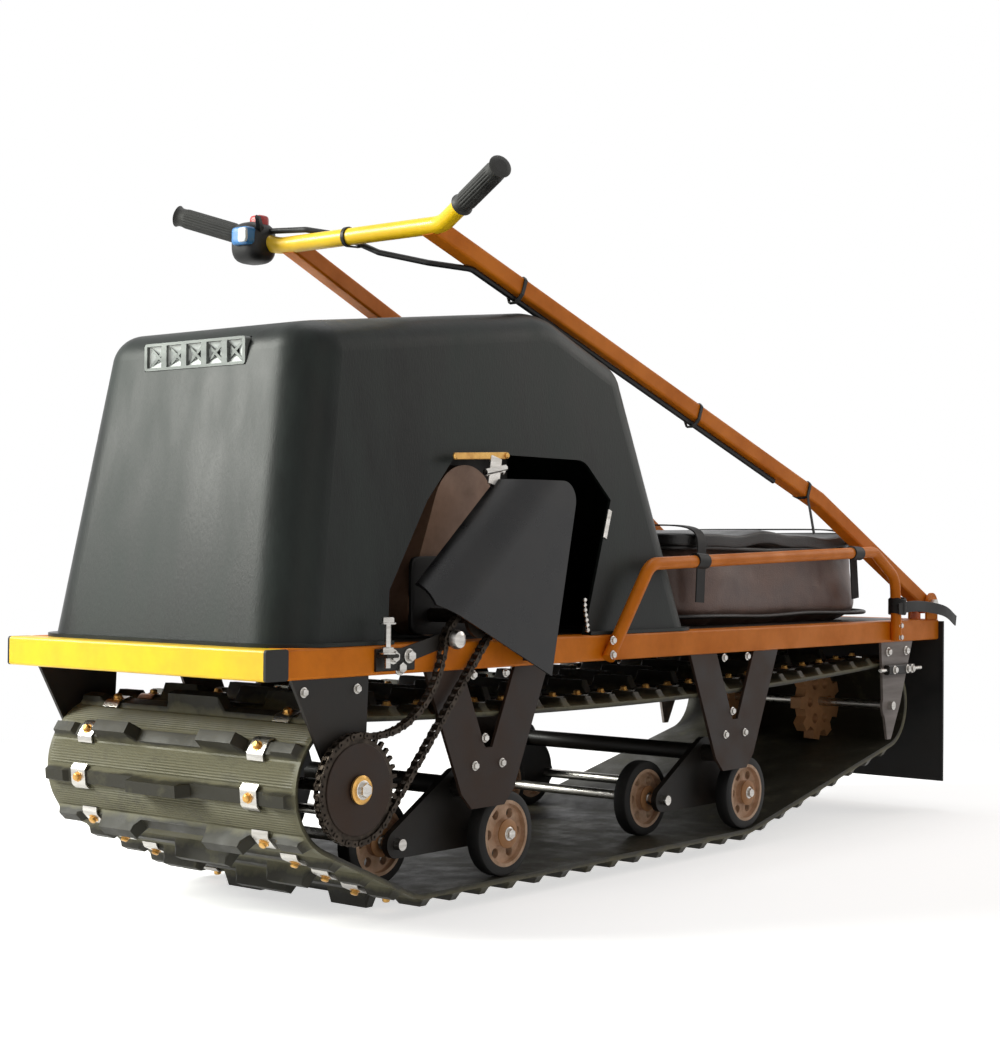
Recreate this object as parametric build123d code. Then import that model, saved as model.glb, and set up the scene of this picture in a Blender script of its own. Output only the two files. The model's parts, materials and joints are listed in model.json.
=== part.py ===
"""Tracked snow tug: a walk-behind or sled-towing crawler with one wide track, a tubular deck frame,
a moulded engine hood and a tow handlebar that folds forward over the hood.

Frame: +X towards the nose, +Y to the machine's left, +Z up. The origin is on the ground,
under the middle of the overall box. All sizes are in millimetres.
"""

import os
from math import atan2, asin, ceil, cos, degrees, hypot, pi, radians, sin

from build123d import *

# Overall and frame
TUBE = 40.0                 # square frame tube
FRAME_WIDTH = 520.0
FRAME_LENGTH = 1832.0       # nose beam to the back of the rear beam
FLAP_SHEET = 5.0
HITCH_REACH = 53.0          # hitch plate behind the mudflap
OVERALL_LENGTH = FRAME_LENGTH + FLAP_SHEET + HITCH_REACH
NOSE_X = OVERALL_LENGTH / 2
HALF_WIDTH = FRAME_WIDTH / 2
DECK_Z = 376.0              # top of the frame tubes
TUBE_ROUND = 4.0
END_CAP = 4.0               # plastic plugs at the ends of the nose beam
PLATE = 5.0                 # hanger plates under the rails
DECK_SHEET = 3.0
FIT_GAP = 0.3               # gap between separate pieces that sit side by side

# Track
TRACK_WIDTH = FRAME_WIDTH - 20.0
BELT = 7.0
TRACK_SAG_R = 13700.0       # the upper run hangs between the sprockets
LUG_HEIGHT = 26.0           # rows between the clips
EDGE_LUG_HEIGHT = 12.0      # rows outside the clips
LUG_BASE = 26.0
LUG_TIP = 14.0
LUG_COUNT = 56
CLIP_ROW_Y = 0.344 * TRACK_WIDTH          # bare strips of belt where the steel clips sit
CLIP_ROW_WIDTH = 30.0
GROUND_STACK = BELT + LUG_HEIGHT

# Running gear, distances behind the nose
DRIVE_AFT = 156.0
DRIVE_Z = 191.0
DRIVE_BELT_R = 85.0         # inside of the belt round the drive sprockets
IDLER_AFT = FRAME_LENGTH - 194.0
IDLER_Z = 216.0
IDLER_BELT_R = 75.0
WHEEL_R = 62.0
WHEEL_WIDTH = 26.0
TYRE_SIDES = 16
HUB_R = 48.0
HUB_WIDTH = 28.0
HUB_BOSS_R = 20.0
WHEEL_Z = GROUND_STACK + WHEEL_R
BOGIE_AFT = (440.0, 1090.0)  # pivot of the front and the rear bogie
OUTER_WHEEL_BACK = 57.0     # outer wheels sit behind the bogie pivot
INNER_WHEEL_AHEAD = 125.0   # inner wheels sit ahead of it
OUTER_WHEEL_Y = TRACK_WIDTH / 2 - 18.0
INNER_WHEEL_Y = OUTER_WHEEL_Y - 80.0
BOGIE_Z = 164.0
BOGIE_PLATE_Y = OUTER_WHEEL_Y - 40.0
BOGIE_PLATE = 10.0
AXLE_R = 8.0
PIVOT_TUBE_R = 14.0
BORE_GAP = 0.2
CUT_REACH = 60.0            # how far cutting tools run past what they cut
SPROCKET_Y = 0.19 * TRACK_WIDTH
SPROCKET_WIDTH = 22.0
SPROCKET_TEETH = 9
HANGER_Y = HALF_WIDTH - 8.0            # inner face of the hanger plates, just outside the track

# Hanger plates
VEE_TOP = 272.0
VEE_LEG = 78.0
VEE_TIP = 116.0
VEE_CHAMFER = 22.0
VEE_TIP_Z = 140.0
VEE_NOTCH_Z = 224.0
FRONT_HANGER = (48.0, 190.0)
REAR_HANGER = (IDLER_AFT - 36.0, IDLER_AFT + 90.0)
REAR_HANGER_TIP_Z = 152.0

# Chain drive
CHAIN_Y = HALF_WIDTH + 10.0
CHAIN_PITCH_R = 70.0
CHAIN_TEETH = 35
CHAIN_PLATE_DEPTH = 11.0
CHAIN_PLATE = 2.4
CHAIN_PIN = 5.0
CHAIN_PIN_EVERY = 7         # pitches between the pins that join the two rows
CHAIN_STEP = 0.40           # turn from one straight of the chain to the next, in radians
CHAIN_GAP = 7.0             # between the two rows of side plates
SPROCKET_DISC = 5.6
TOOTH_RISE = 4.5
TOOTH_DROP = 4.0
PINION_AFT = 400.0
PINION_Z = 410.0
PINION_R = 34.0
TENSION_R = 15.0
TENSION_CLEAR = 10.0        # between the tension roller and the pinion
TENSION_AFT = PINION_AFT - PINION_R - TENSION_R - TENSION_CLEAR
TENSION_Z = 380.0
TENSION_FOOT = (242.0, 358.0)
CHAIN_SAG_R = 135.0
GUARD_SHEET = 3.0
GUARD_Y = HALF_WIDTH + 31.0
GUARD_SLANT = 49.0          # the curled edge follows the chain, degrees from upright
GUARD_CURL_R = 60.0
GUARD_CURL_TURN = 80.0
GUARD_FLAT = 320.0
GUARD_LINE = (545.0, 590.0)  # a point where the curl starts
GUARD_OUTLINE = ((539.0, 322.0), (601.0, 605.0), (440.0, 605.0), (300.0, 520.0), (300.0, 428.0))
GUARD_ROUND = 30.0
GUARD_LUG_AFT = 538.0

# Hood
HOOD_FRONT = 42.0           # walls at the deck
HOOD_LENGTH = 0.5164 * FRAME_LENGTH
HOOD_REAR = HOOD_FRONT + HOOD_LENGTH
HOOD_HALF = HALF_WIDTH - 13.0
HOOD_LEAN_FRONT = 0.18      # how far each wall leans in per unit of height
HOOD_LEAN_REAR = 0.36
HOOD_LEAN_SIDE = 0.078
HOOD_CORNER_R = 64.0
HOOD_CROWN_AFT = (HOOD_FRONT + 22.0, HOOD_FRONT + 0.632 * HOOD_LENGTH, HOOD_REAR - 83.0)
HOOD_CROWN_Z = (796.0, 867.0, 762.0)    # top line, then the fall under the folded arms
HOOD_CROWN_R = 150.0
HOOD_TOP_ROUND = 48.0
HOOD_RIM_Z = 667.0
HOOD_WALL = 5.0
FLANGE = 12.0
FLANGE_THICK = 5.0
ARCH_SHARE = (0.203, 0.216, 0.307, 0.382, 0.698, 0.765, 0.661)   # of the length of the hood
ARCH_Z = (352.0, 448.0, 571.0, 642.0, 642.0, 583.0, 352.0)
ARCH = tuple((HOOD_FRONT + share * HOOD_LENGTH, z) for share, z in zip(ARCH_SHARE, ARCH_Z))
ARCH_ROUND = 40.0
ARCH_DEPTH = 90.0

# Engine and drive case under the hood
ENGINE_AFT = HOOD_FRONT + 0.4625 * HOOD_LENGTH
CASE_TOP = (ENGINE_AFT, 557.0, 70.0)
CASE_LOW_R = 44.0
CASE_Y = (HALF_WIDTH - 126.0, HALF_WIDTH - 84.0)
ENGINE_SIZE = (0.353 * HOOD_LENGTH, 2 * CASE_Y[0] - 8.0, 330.0)

# Lamp
LAMP_WIDTH = 204.0
LAMP_HEIGHT = 38.0
LAMP_DEPTH = 20.0
LAMP_GAP = 0.5
LAMP_Z = 768.0
LAMP_CELLS = 5
LAMP_LENS = 30.0
LAMP_RECESS = 10.0
LAMP_AFT = 108.0

# Rear deck load and guard rails
BAG_FRONT = HOOD_REAR + 40.0
BAG_REAR = FRAME_LENGTH - 122.0
BAG_HALF = HALF_WIDTH - 66.0
BAG_TOP_Z = 546.0
BAG_ROUND = 40.0
GUARD_TUBE_R = 10.0
GUARD_BEND_R = 40.0
GUARD_FOOT_AFT = FRAME_LENGTH - 194.0
GUARD_FOOT_Z = 340.0        # the feet reach down over the sides of the rails
GUARD_POINTS = (
    (HOOD_REAR - 280.0, GUARD_FOOT_Z),
    (HOOD_REAR - 170.0, 484.0),
    (GUARD_FOOT_AFT - 92.0, 507.0),
    (GUARD_FOOT_AFT - 8.0, 458.0),
    (GUARD_FOOT_AFT, GUARD_FOOT_Z),
)

# Handlebar
PIVOT_AFT = FRAME_LENGTH - 27.0
PIVOT_Z = 406.0
PIVOT_Y = HALF_WIDTH - TUBE / 2
BEND_AFT = PIVOT_AFT - 375.0
BEND_Z = 601.0
BAR_AFT = 432.0
BAR_Z = 974.0
BAR_ARM_Y = 144.0
ARM_TUBE = 28.0
BAR_TUBE_R = 13.0
BAR_BEND_R = 60.0
BAR_BEND_Y = 168.0
GRIP_END = (366.0, 329.0, 1028.0)
GRIP_LENGTH = 118.0
GRIP_R = 17.0
GRIP_CAP = 3.0
CONTROL_LENGTH = 36.0
CONTROL_R = 21.0
CONTROL_DROP = 34.0
STOP_R = 8.0
STOP_RISE = 11.0
SWITCH_SIZE = (24.0, 15.0, 9.0)
SWITCH_LIFT = 2.0
LEVER_FOOT_R = 5.0
LEVER_TIP_R = 3.0
LEVER_REACH = 30.0
LEVER_PLATE = 7.0
PIN_R = 6.0
PIN_GAP = 0.05
EAR = 5.0
EAR_GAP = 1.8
EAR_HALF = 22.0
CABLE_R = 4.5
CABLE_BEND_R = 14.0
CABLE_GAP = 0.8             # between the cable and the under side of the arm
CABLE_START = (
    (426.0, -184.0, 998.0),
    (432.0, -110.0, 994.0),
    (454.0, -60.0, 984.0),
    (457.0, 20.0, 950.0),
    (480.0, 100.0, 930.0),
)
CABLE_ARM_SPAN = (100.0, 930.0)

# Rear end
FLAP_BOTTOM_Z = 57.0
FLAP_HALF = HALF_WIDTH + 10.0
HITCH_WIDTH = 70.0
HITCH_PLATE = 10.0
HITCH_BORE_R = 8.2
HITCH_BORE_BACK = 24.0      # bore centre to the back edge

RAIL_INNER_Y = HALF_WIDTH - TUBE
FRAME_BOTTOM_Z = DECK_Z - TUBE
SIDES = (("left", 1.0), ("right", -1.0))


def aft(distance):
    """X of a point that lies this far behind the nose."""
    return NOSE_X - distance


def box(x0, x1, y0, y1, z0, z1):
    """Box from two opposite corners."""
    return Pos((x0 + x1) / 2, (y0 + y1) / 2, (z0 + z1) / 2) * Box(abs(x1 - x0), abs(y1 - y0), abs(z1 - z0))


def side_prism(sketch, y0, y1):
    """Extrudes a sketch drawn as (x, z) from y0 to y1."""
    low = min(y0, y1)
    plane = Plane(origin=(0, low, 0), x_dir=(1, 0, 0), z_dir=(0, -1, 0))
    return extrude(plane * sketch, amount=-abs(y1 - y0))


def side_rod(x, z, radius, y0, y1):
    """Round rod across the machine."""
    return side_prism(Pos(x, z) * Circle(radius), y0, y1)


def tube_along(points, bend_radius, radius):
    """Round bar along straight runs joined by tangent arcs."""
    path = FilletPolyline(*points, radius=bend_radius)
    return sweep(Plane(path @ 0, z_dir=path % 0) * Circle(radius), path=path)


# Frame

def nose_beam():
    half = HALF_WIDTH - END_CAP
    beam = box(aft(0), aft(TUBE), -half, half, FRAME_BOTTOM_Z, DECK_Z)
    return fillet(beam.edges().filter_by(Axis.Y), TUBE_ROUND)


def nose_caps():
    half = HALF_WIDTH
    caps = []
    for _, side in SIDES:
        cap = box(aft(0), aft(TUBE), side * (half - END_CAP), side * half, FRAME_BOTTOM_Z, DECK_Z)
        caps.append(fillet(cap.edges().filter_by(Axis.Y), TUBE_ROUND))
    return Compound(children=caps)


def rail(side):
    bar = box(aft(TUBE), aft(FRAME_LENGTH), side * RAIL_INNER_Y, side * HALF_WIDTH, FRAME_BOTTOM_Z, DECK_Z)
    return fillet(bar.edges().filter_by(Axis.X), TUBE_ROUND)


def rear_beam():
    rear = aft(FRAME_LENGTH)
    bar = box(rear + TUBE, rear, -RAIL_INNER_Y, RAIL_INNER_Y, FRAME_BOTTOM_Z, DECK_Z)
    return fillet(bar.edges().filter_by(Axis.Y), TUBE_ROUND)


def deck():
    return box(aft(TUBE), aft(FRAME_LENGTH - TUBE), -RAIL_INNER_Y, RAIL_INNER_Y, DECK_Z - DECK_SHEET, DECK_Z)


def hitch():
    mid_z = DECK_Z - TUBE / 2
    back = aft(OVERALL_LENGTH)
    plate = box(aft(FRAME_LENGTH + FLAP_SHEET), back, -HITCH_WIDTH / 2, HITCH_WIDTH / 2,
                mid_z - HITCH_PLATE / 2, mid_z + HITCH_PLATE / 2)
    plate = fillet(plate.edges().filter_by(Axis.Z).group_by(Axis.X)[0], HITCH_BORE_BACK)
    return plate - Pos(back + HITCH_BORE_BACK, 0, mid_z) * Cylinder(HITCH_BORE_R, 4 * HITCH_PLATE)


def mudflap():
    return box(aft(FRAME_LENGTH), aft(FRAME_LENGTH + FLAP_SHEET), -FLAP_HALF, FLAP_HALF,
               FLAP_BOTTOM_Z, DECK_Z - TUBE_ROUND)


# Lines and arcs

def on_circle(circle, radius, angle):
    """Point at an angle on a circle of this radius round a circle's centre."""
    return circle[0] + radius * cos(angle), circle[1] + radius * sin(angle)


def unwind(start, end):
    """End angle lifted until it follows the start angle."""
    while end < start:
        end += 2 * pi
    return end


def piece_length(piece):
    """Length of one line or arc."""
    if piece[0] == "line":
        return hypot(piece[2][0] - piece[1][0], piece[2][1] - piece[1][1])
    return piece[2] * abs(piece[4] - piece[3])


def route_length(pieces):
    """Length of a route of lines and arcs."""
    return sum(piece_length(piece) for piece in pieces)


def route_point(pieces, distance):
    """(x, z, heading) at a distance along a route of lines and arcs."""
    for piece in pieces:
        length = piece_length(piece)
        if distance <= length:
            part = distance / length
            if piece[0] == "line":
                (x0, z0), (x1, z1) = piece[1:]
                return x0 + part * (x1 - x0), z0 + part * (z1 - z0), atan2(z1 - z0, x1 - x0)
            _, centre, radius, start, end = piece
            angle = start + part * (end - start)
            turn = pi / 2 if end > start else -pi / 2
            return (*on_circle(centre, radius, angle), angle + turn)
        distance -= length
    return route_point(pieces, distance)


# Track loop

def track_circles(offset):
    """Circles (x, z, radius) that the belt wraps, grown by an offset from the belt's inner face."""
    front_wheel = aft(BOGIE_AFT[0] - INNER_WHEEL_AHEAD)
    rear_wheel = aft(BOGIE_AFT[1] + OUTER_WHEEL_BACK)
    return (
        (aft(DRIVE_AFT), DRIVE_Z, DRIVE_BELT_R + offset),
        (front_wheel, WHEEL_Z, WHEEL_R + offset),
        (rear_wheel, WHEEL_Z, WHEEL_R + offset),
        (aft(IDLER_AFT), IDLER_Z, IDLER_BELT_R + offset),
    )


def sag_centre(first, second, radius):
    """Centre of a slack run that touches two circles from outside, to the left of the way between them."""
    x0, z0, r0 = first
    x1, z1, r1 = second
    span = hypot(x1 - x0, z1 - z0)
    near, far = r0 + radius, r1 + radius
    along = (near ** 2 - far ** 2 + span ** 2) / (2 * span)
    off = (near ** 2 - along ** 2) ** 0.5
    ux, uz = (x1 - x0) / span, (z1 - z0) / span
    return x0 + along * ux - off * uz, z0 + along * uz + off * ux


def direction(start, end):
    """Angle of the way from one point to another."""
    return atan2(end[1] - start[1], end[0] - start[0])


def loop_pieces(offset):
    """Lines and arcs of the loop, clockwise seen from the left, with a slack upper run.

    Each is ('line', p, q) or ('arc', c, r, a0, a1).
    """
    rings = track_circles(offset)
    last = len(rings) - 1
    slack = TRACK_SAG_R - offset
    hang = sag_centre(rings[last], rings[0], slack)
    leave, arrive = {}, {}
    for i in range(last):
        (x0, z0, r0), (x1, z1, r1) = rings[i], rings[i + 1]
        lean = asin((r0 - r1) / hypot(x1 - x0, z1 - z0))
        leave[i] = arrive[i + 1] = atan2(z1 - z0, x1 - x0) + pi / 2 - lean
    leave[last] = direction(rings[last], hang)
    arrive[0] = direction(rings[0], hang)
    pieces = []
    for i, ring in enumerate(rings):
        end = leave[i]
        while end > arrive[i]:
            end -= 2 * pi
        while end < arrive[i] - 2 * pi:
            end += 2 * pi
        pieces.append(("arc", ring[:2], ring[2], arrive[i], end))
        if i < last:
            after = rings[i + 1]
            pieces.append(("line", on_circle(ring, ring[2], leave[i]), on_circle(after, after[2], leave[i])))
    pieces.append(("arc", hang, slack, leave[last] - pi, unwind(leave[last] - pi, arrive[0] - pi)))
    return pieces


def loop_face(pieces):
    """Flat face, drawn as (x, z), that the loop closes."""
    edges = []
    for piece in pieces:
        if piece[0] == "line":
            edges.append(Line(piece[1], piece[2]))
        else:
            _, (cx, cz), radius, start, end = piece
            spots = [(cx + radius * cos(a), cz + radius * sin(a)) for a in (start, (start + end) / 2, end)]
            edges.append(ThreePointArc(*spots))
    return make_face(edges)


def lugged_face(pieces, height):
    """Flat face of the loop with a lug of this height standing out at each pitch."""
    pitch = route_length(pieces) / LUG_COUNT
    foot, tip = LUG_BASE / 2, LUG_TIP / 2
    spots = []
    for index in range(LUG_COUNT):
        middle = (index + 0.5) * pitch
        for shift, rise in ((-foot, 0.0), (-tip, height), (tip, height), (foot, 0.0)):
            x, z, heading = route_point(pieces, middle + shift)
            spots.append((x - rise * sin(heading), z + rise * cos(heading)))
        x, z, after = route_point(pieces, (index + 1) * pitch - 1e-6)
        if abs(sin((after - heading) / 2)) > 0.02:
            spots.append((x, z))
    return make_face(Polyline(*spots, close=True))


def track():
    inner = loop_face(loop_pieces(0.0))
    outer = loop_pieces(BELT)
    bare = loop_face(outer) - inner
    tall = lugged_face(outer, LUG_HEIGHT) - inner
    low = lugged_face(outer, EDGE_LUG_HEIGHT) - inner
    edge = TRACK_WIDTH / 2
    row_in = CLIP_ROW_Y - CLIP_ROW_WIDTH / 2
    row_out = CLIP_ROW_Y + CLIP_ROW_WIDTH / 2
    loop = side_prism(bare, -row_out, row_out) + side_prism(tall, -row_in, row_in)
    for _, side in SIDES:
        loop += side_prism(low, side * row_out, side * edge)
    return loop


# Running gear

def toothed_disc(radius, teeth, drop, duty):
    """Disc outline with square-shouldered teeth."""
    step = 2 * pi / teeth
    spots = []
    for index in range(teeth):
        root, tip = duty / 2, duty / 3
        for turn, r in ((-root, radius - drop), (-tip, radius), (tip, radius), (root, radius - drop)):
            angle = (index + turn) * step
            spots.append((r * cos(angle), r * sin(angle)))
    return make_face(Polyline(*spots, close=True))


def track_sprockets(back, height, belt_radius):
    """Pair of toothed wheels inside the belt."""
    wheel = toothed_disc(belt_radius - FIT_GAP, SPROCKET_TEETH, 16.0, 0.62)
    wheel -= Circle(AXLE_R + BORE_GAP)
    wheel -= PolarLocations(belt_radius * 0.5, 6) * Circle(belt_radius * 0.13)
    pair = []
    for _, side in SIDES:
        y0 = side * SPROCKET_Y - SPROCKET_WIDTH / 2
        pair.append(side_prism(Pos(aft(back), height) * wheel, y0, y0 + SPROCKET_WIDTH))
    return Compound(children=pair)


def wheel_places(side):
    """(x, y) of the four road wheels on one side."""
    places = []
    for pivot in BOGIE_AFT:
        places.append((aft(pivot + OUTER_WHEEL_BACK), side * OUTER_WHEEL_Y))
        places.append((aft(pivot - INNER_WHEEL_AHEAD), side * INNER_WHEEL_Y))
    return places


def wheel_tyres(side):
    ring = RegularPolygon(WHEEL_R - FIT_GAP, TYRE_SIDES)
    ring = ring - RegularPolygon(HUB_R, TYRE_SIDES, major_radius=False)
    half = WHEEL_WIDTH / 2
    places = wheel_places(side)
    return Compound(children=[side_prism(Pos(x, WHEEL_Z) * ring, y - half, y + half) for x, y in places])


def wheel_hubs(side):
    disc = Circle(HUB_R) - Circle(AXLE_R + BORE_GAP) - PolarLocations(HUB_R * 0.66, 6) * Circle(HUB_R * 0.15)
    boss = Circle(HUB_BOSS_R) - Circle(AXLE_R + BORE_GAP)
    rim = Circle(HUB_R) - Circle(HUB_R - 5)
    hubs = []
    for x, y in wheel_places(side):
        here = Pos(x, WHEEL_Z)
        hub = side_prism(here * disc, y - HUB_WIDTH / 6, y + HUB_WIDTH / 6)
        hub += side_prism(here * boss, y - HUB_WIDTH / 2, y + HUB_WIDTH / 2)
        hub += side_prism(here * rim, y - WHEEL_WIDTH / 2, y + WHEEL_WIDTH / 2)
        hubs.append(hub)
    return Compound(children=hubs)


def wheel_axles():
    rods = []
    for pivot in BOGIE_AFT:
        outer, inner = aft(pivot + OUTER_WHEEL_BACK), aft(pivot - INNER_WHEEL_AHEAD)
        for x, reach in ((outer, OUTER_WHEEL_Y), (inner, INNER_WHEEL_Y)):
            half = max(reach, BOGIE_PLATE_Y) + HUB_WIDTH / 2 + 2
            rods.append(side_rod(x, WHEEL_Z, AXLE_R, -half, half))
    return Compound(children=rods)


def bogie_tubes():
    half = HANGER_Y
    return Compound(children=[side_rod(aft(p), BOGIE_Z, PIVOT_TUBE_R, -half, half) for p in BOGIE_AFT])


def bogie_plates(side):
    plates = []
    for pivot in BOGIE_AFT:
        outer, inner = aft(pivot + OUTER_WHEEL_BACK), aft(pivot - INNER_WHEEL_AHEAD)
        corners = ((aft(pivot), BOGIE_Z), (outer, WHEEL_Z), (inner, WHEEL_Z))
        rounds = Sketch() + [Pos(x, z) * Circle(r) for (x, z), r in zip(corners, (26.0, 20.0, 20.0))]
        plate = make_hull(rounds.edges())
        for (x, z), r in zip(corners, (PIVOT_TUBE_R, AXLE_R, AXLE_R)):
            plate -= Pos(x, z) * Circle(r + BORE_GAP)
        mid = side * BOGIE_PLATE_Y
        plates.append(side_prism(plate, mid - BOGIE_PLATE / 2, mid + BOGIE_PLATE / 2))
    return Compound(children=plates)


def vee_plates(side):
    """Pair of open vee hangers that carry the bogie pivots from a rail."""
    plates = []
    for pivot in BOGIE_AFT:
        x = aft(pivot)
        half = VEE_TOP / 2
        outline = make_face(Polyline(
            (x - half, FRAME_BOTTOM_Z), (x + half, FRAME_BOTTOM_Z),
            (x + VEE_TIP / 2, VEE_TIP_Z + VEE_CHAMFER), (x + VEE_TIP / 2 - VEE_CHAMFER, VEE_TIP_Z),
            (x - VEE_TIP / 2 + VEE_CHAMFER, VEE_TIP_Z),
            (x - VEE_TIP / 2, VEE_TIP_Z + VEE_CHAMFER),
            close=True))
        notch = make_face(Polyline(
            (x - half + VEE_LEG, FRAME_BOTTOM_Z), (x + half - VEE_LEG, FRAME_BOTTOM_Z),
            (x + 8, VEE_NOTCH_Z), (x - 8, VEE_NOTCH_Z), close=True))
        plates.append(side_prism(outline - notch, side * HANGER_Y, side * (HANGER_Y + PLATE)))
    return Compound(children=plates)


def axle_hanger(side, corners, axle_x, axle_z):
    """Plate from a rail down round an axle end."""
    outline = make_face(Polyline(*corners, close=True)) + Pos(axle_x, axle_z) * Circle(30.0)
    outline -= Pos(axle_x, axle_z) * Circle(AXLE_R + BORE_GAP)
    return side_prism(outline, side * HANGER_Y, side * (HANGER_Y + PLATE))


def front_hanger(side):
    x0, x1 = aft(FRONT_HANGER[0]), aft(FRONT_HANGER[1])
    x, z = aft(DRIVE_AFT), DRIVE_Z
    return axle_hanger(side, ((x0, FRAME_BOTTOM_Z), (x1, FRAME_BOTTOM_Z), (x - 28, z), (x + 28, z)), x, z)


def rear_hanger(side):
    x0, x1 = aft(REAR_HANGER[0]), aft(REAR_HANGER[1])
    x, z = aft(IDLER_AFT), IDLER_Z
    tip = REAR_HANGER_TIP_Z
    top = ((x0, FRAME_BOTTOM_Z), (x1, FRAME_BOTTOM_Z))
    low = ((x - 40, z), (x - 4, tip), (x + 10, tip), (x + 26, z))
    return axle_hanger(side, top + low, x, z)


def drive_axle():
    x, z = aft(DRIVE_AFT), DRIVE_Z
    rod = side_rod(x, z, AXLE_R, -HANGER_Y - PLATE - 8, CHAIN_Y + 14)
    return rod


def idler_axle():
    half = HANGER_Y + PLATE + 8
    return side_rod(aft(IDLER_AFT), IDLER_Z, AXLE_R, -half, half)


# Chain drive

def chain_nodes():
    """Circles (x, z, radius) of the chain: sprocket, tension roller, pinion, and the sag's centre."""
    big = (aft(DRIVE_AFT), DRIVE_Z, CHAIN_PITCH_R)
    roller = (aft(TENSION_AFT), TENSION_Z, TENSION_R)
    pinion = (aft(PINION_AFT), PINION_Z, PINION_R)
    return big, roller, pinion, (*sag_centre(roller, big, CHAIN_SAG_R), CHAIN_SAG_R)


def tangent_normal(first, second):
    """Direction from the centres to the straight run between two circles, on the right of the travel."""
    heading = atan2(second[1] - first[1], second[0] - first[0])
    lean = asin((first[2] - second[2]) / hypot(second[0] - first[0], second[1] - first[1]))
    return heading - pi / 2 + lean


def chain_pieces(offset):
    """Lines and arcs of the chain, offset outwards from its pitch line."""
    big, roller, pinion, sag = chain_nodes()
    lower = tangent_normal(pinion, big)
    upper = tangent_normal(roller, pinion)
    off_big = atan2(sag[1] - big[1], sag[0] - big[0])
    off_roller = atan2(sag[1] - roller[1], sag[0] - roller[0])
    pieces = []
    r = big[2] + offset
    pieces.append(("arc", big[:2], r, lower, unwind(lower, off_big)))
    start = off_big + pi
    end = off_roller + pi
    while end > start:
        end -= 2 * pi
    pieces.append(("arc", sag[:2], sag[2] - offset, start, end))
    r = roller[2] + offset
    pieces.append(("arc", roller[:2], r, off_roller, unwind(off_roller, upper)))
    r2 = pinion[2] + offset
    pieces.append(("line", on_circle(roller, r, upper), on_circle(pinion, r2, upper)))
    pieces.append(("arc", pinion[:2], r2, upper, unwind(upper, lower)))
    pieces.append(("line", on_circle(pinion, r2, lower), on_circle(big, big[2] + offset, lower)))
    return pieces


def chain_outline(offset):
    """Flat face inside the chain's line, offset outwards, with its arcs as short straights."""
    spots = []
    for piece in chain_pieces(offset):
        if piece[0] == "arc":
            _, centre, radius, start, end = piece
            steps = ceil(abs(end - start) / CHAIN_STEP)
            for k in range(steps + 1):
                spot = on_circle(centre, radius, start + (end - start) * k / steps)
                if not spots or hypot(spot[0] - spots[-1][0], spot[1] - spots[-1][1]) > FIT_GAP:
                    spots.append(spot)
    return make_face(Polyline(*spots, close=True))


def chain():
    """Two rows of side plates joined by pins."""
    half = CHAIN_PLATE_DEPTH / 2
    band = chain_outline(half) - chain_outline(-half)
    inner = CHAIN_GAP / 2
    outer = inner + CHAIN_PLATE
    reach = inner + CHAIN_PLATE / 2
    links = [side_prism(band, CHAIN_Y + s * inner, CHAIN_Y + s * outer) for _, s in SIDES]
    pitch = 2 * pi * CHAIN_PITCH_R / CHAIN_TEETH
    route = chain_pieces(0.0)
    for index in range(0, int(route_length(route) / pitch), CHAIN_PIN_EVERY):
        x, z, heading = route_point(route, (index + 0.5) * pitch)
        square = Pos(x, z) * Rot(0, 0, degrees(heading)) * Rectangle(CHAIN_PIN, CHAIN_PIN)
        links.append(side_prism(square, CHAIN_Y - reach, CHAIN_Y + reach))
    return links[0] + links[1:]


def driven_sprocket():
    disc = toothed_disc(CHAIN_PITCH_R + TOOTH_RISE, CHAIN_TEETH, TOOTH_RISE + TOOTH_DROP, 0.48)
    disc -= Circle(AXLE_R + BORE_GAP)
    disc -= PolarLocations(CHAIN_PITCH_R * 0.6, 5) * Circle(CHAIN_PITCH_R * 0.14)
    first_gap = degrees(chain_pieces(0.0)[0][3]) + 180.0 / CHAIN_TEETH
    place = Pos(aft(DRIVE_AFT), DRIVE_Z) * Rot(0, 0, first_gap + 180.0 / CHAIN_TEETH)
    half = SPROCKET_DISC / 2
    body = side_prism(place * disc, CHAIN_Y - half, CHAIN_Y + half)
    boss = Circle(18.0) - Circle(AXLE_R + BORE_GAP)
    return body + side_prism(place * boss, CHAIN_Y - 10, CHAIN_Y + 8)


def pinion():
    x, z = aft(PINION_AFT), PINION_Z
    body = side_rod(x, z, PINION_R - 5.0, CHAIN_Y - SPROCKET_DISC / 2, CHAIN_Y + SPROCKET_DISC / 2)
    return body + side_rod(x, z, 10.0, CASE_Y[1], CHAIN_Y + 8)


def tensioner():
    x, z = aft(TENSION_AFT), TENSION_Z
    rounds = Pos(x, z) * Circle(10.0) + Pos(aft(TENSION_FOOT[0]), TENSION_FOOT[1]) * Circle(11.0)
    face = HALF_WIDTH
    arm = side_prism(make_hull(rounds.edges()), face, face + 2.6)
    arm += side_rod(x, z, 5.0, face, CHAIN_Y + 8)
    return arm + side_rod(x, z, TENSION_R - 5.0, CHAIN_Y - SPROCKET_DISC / 2, CHAIN_Y + SPROCKET_DISC / 2)


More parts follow.
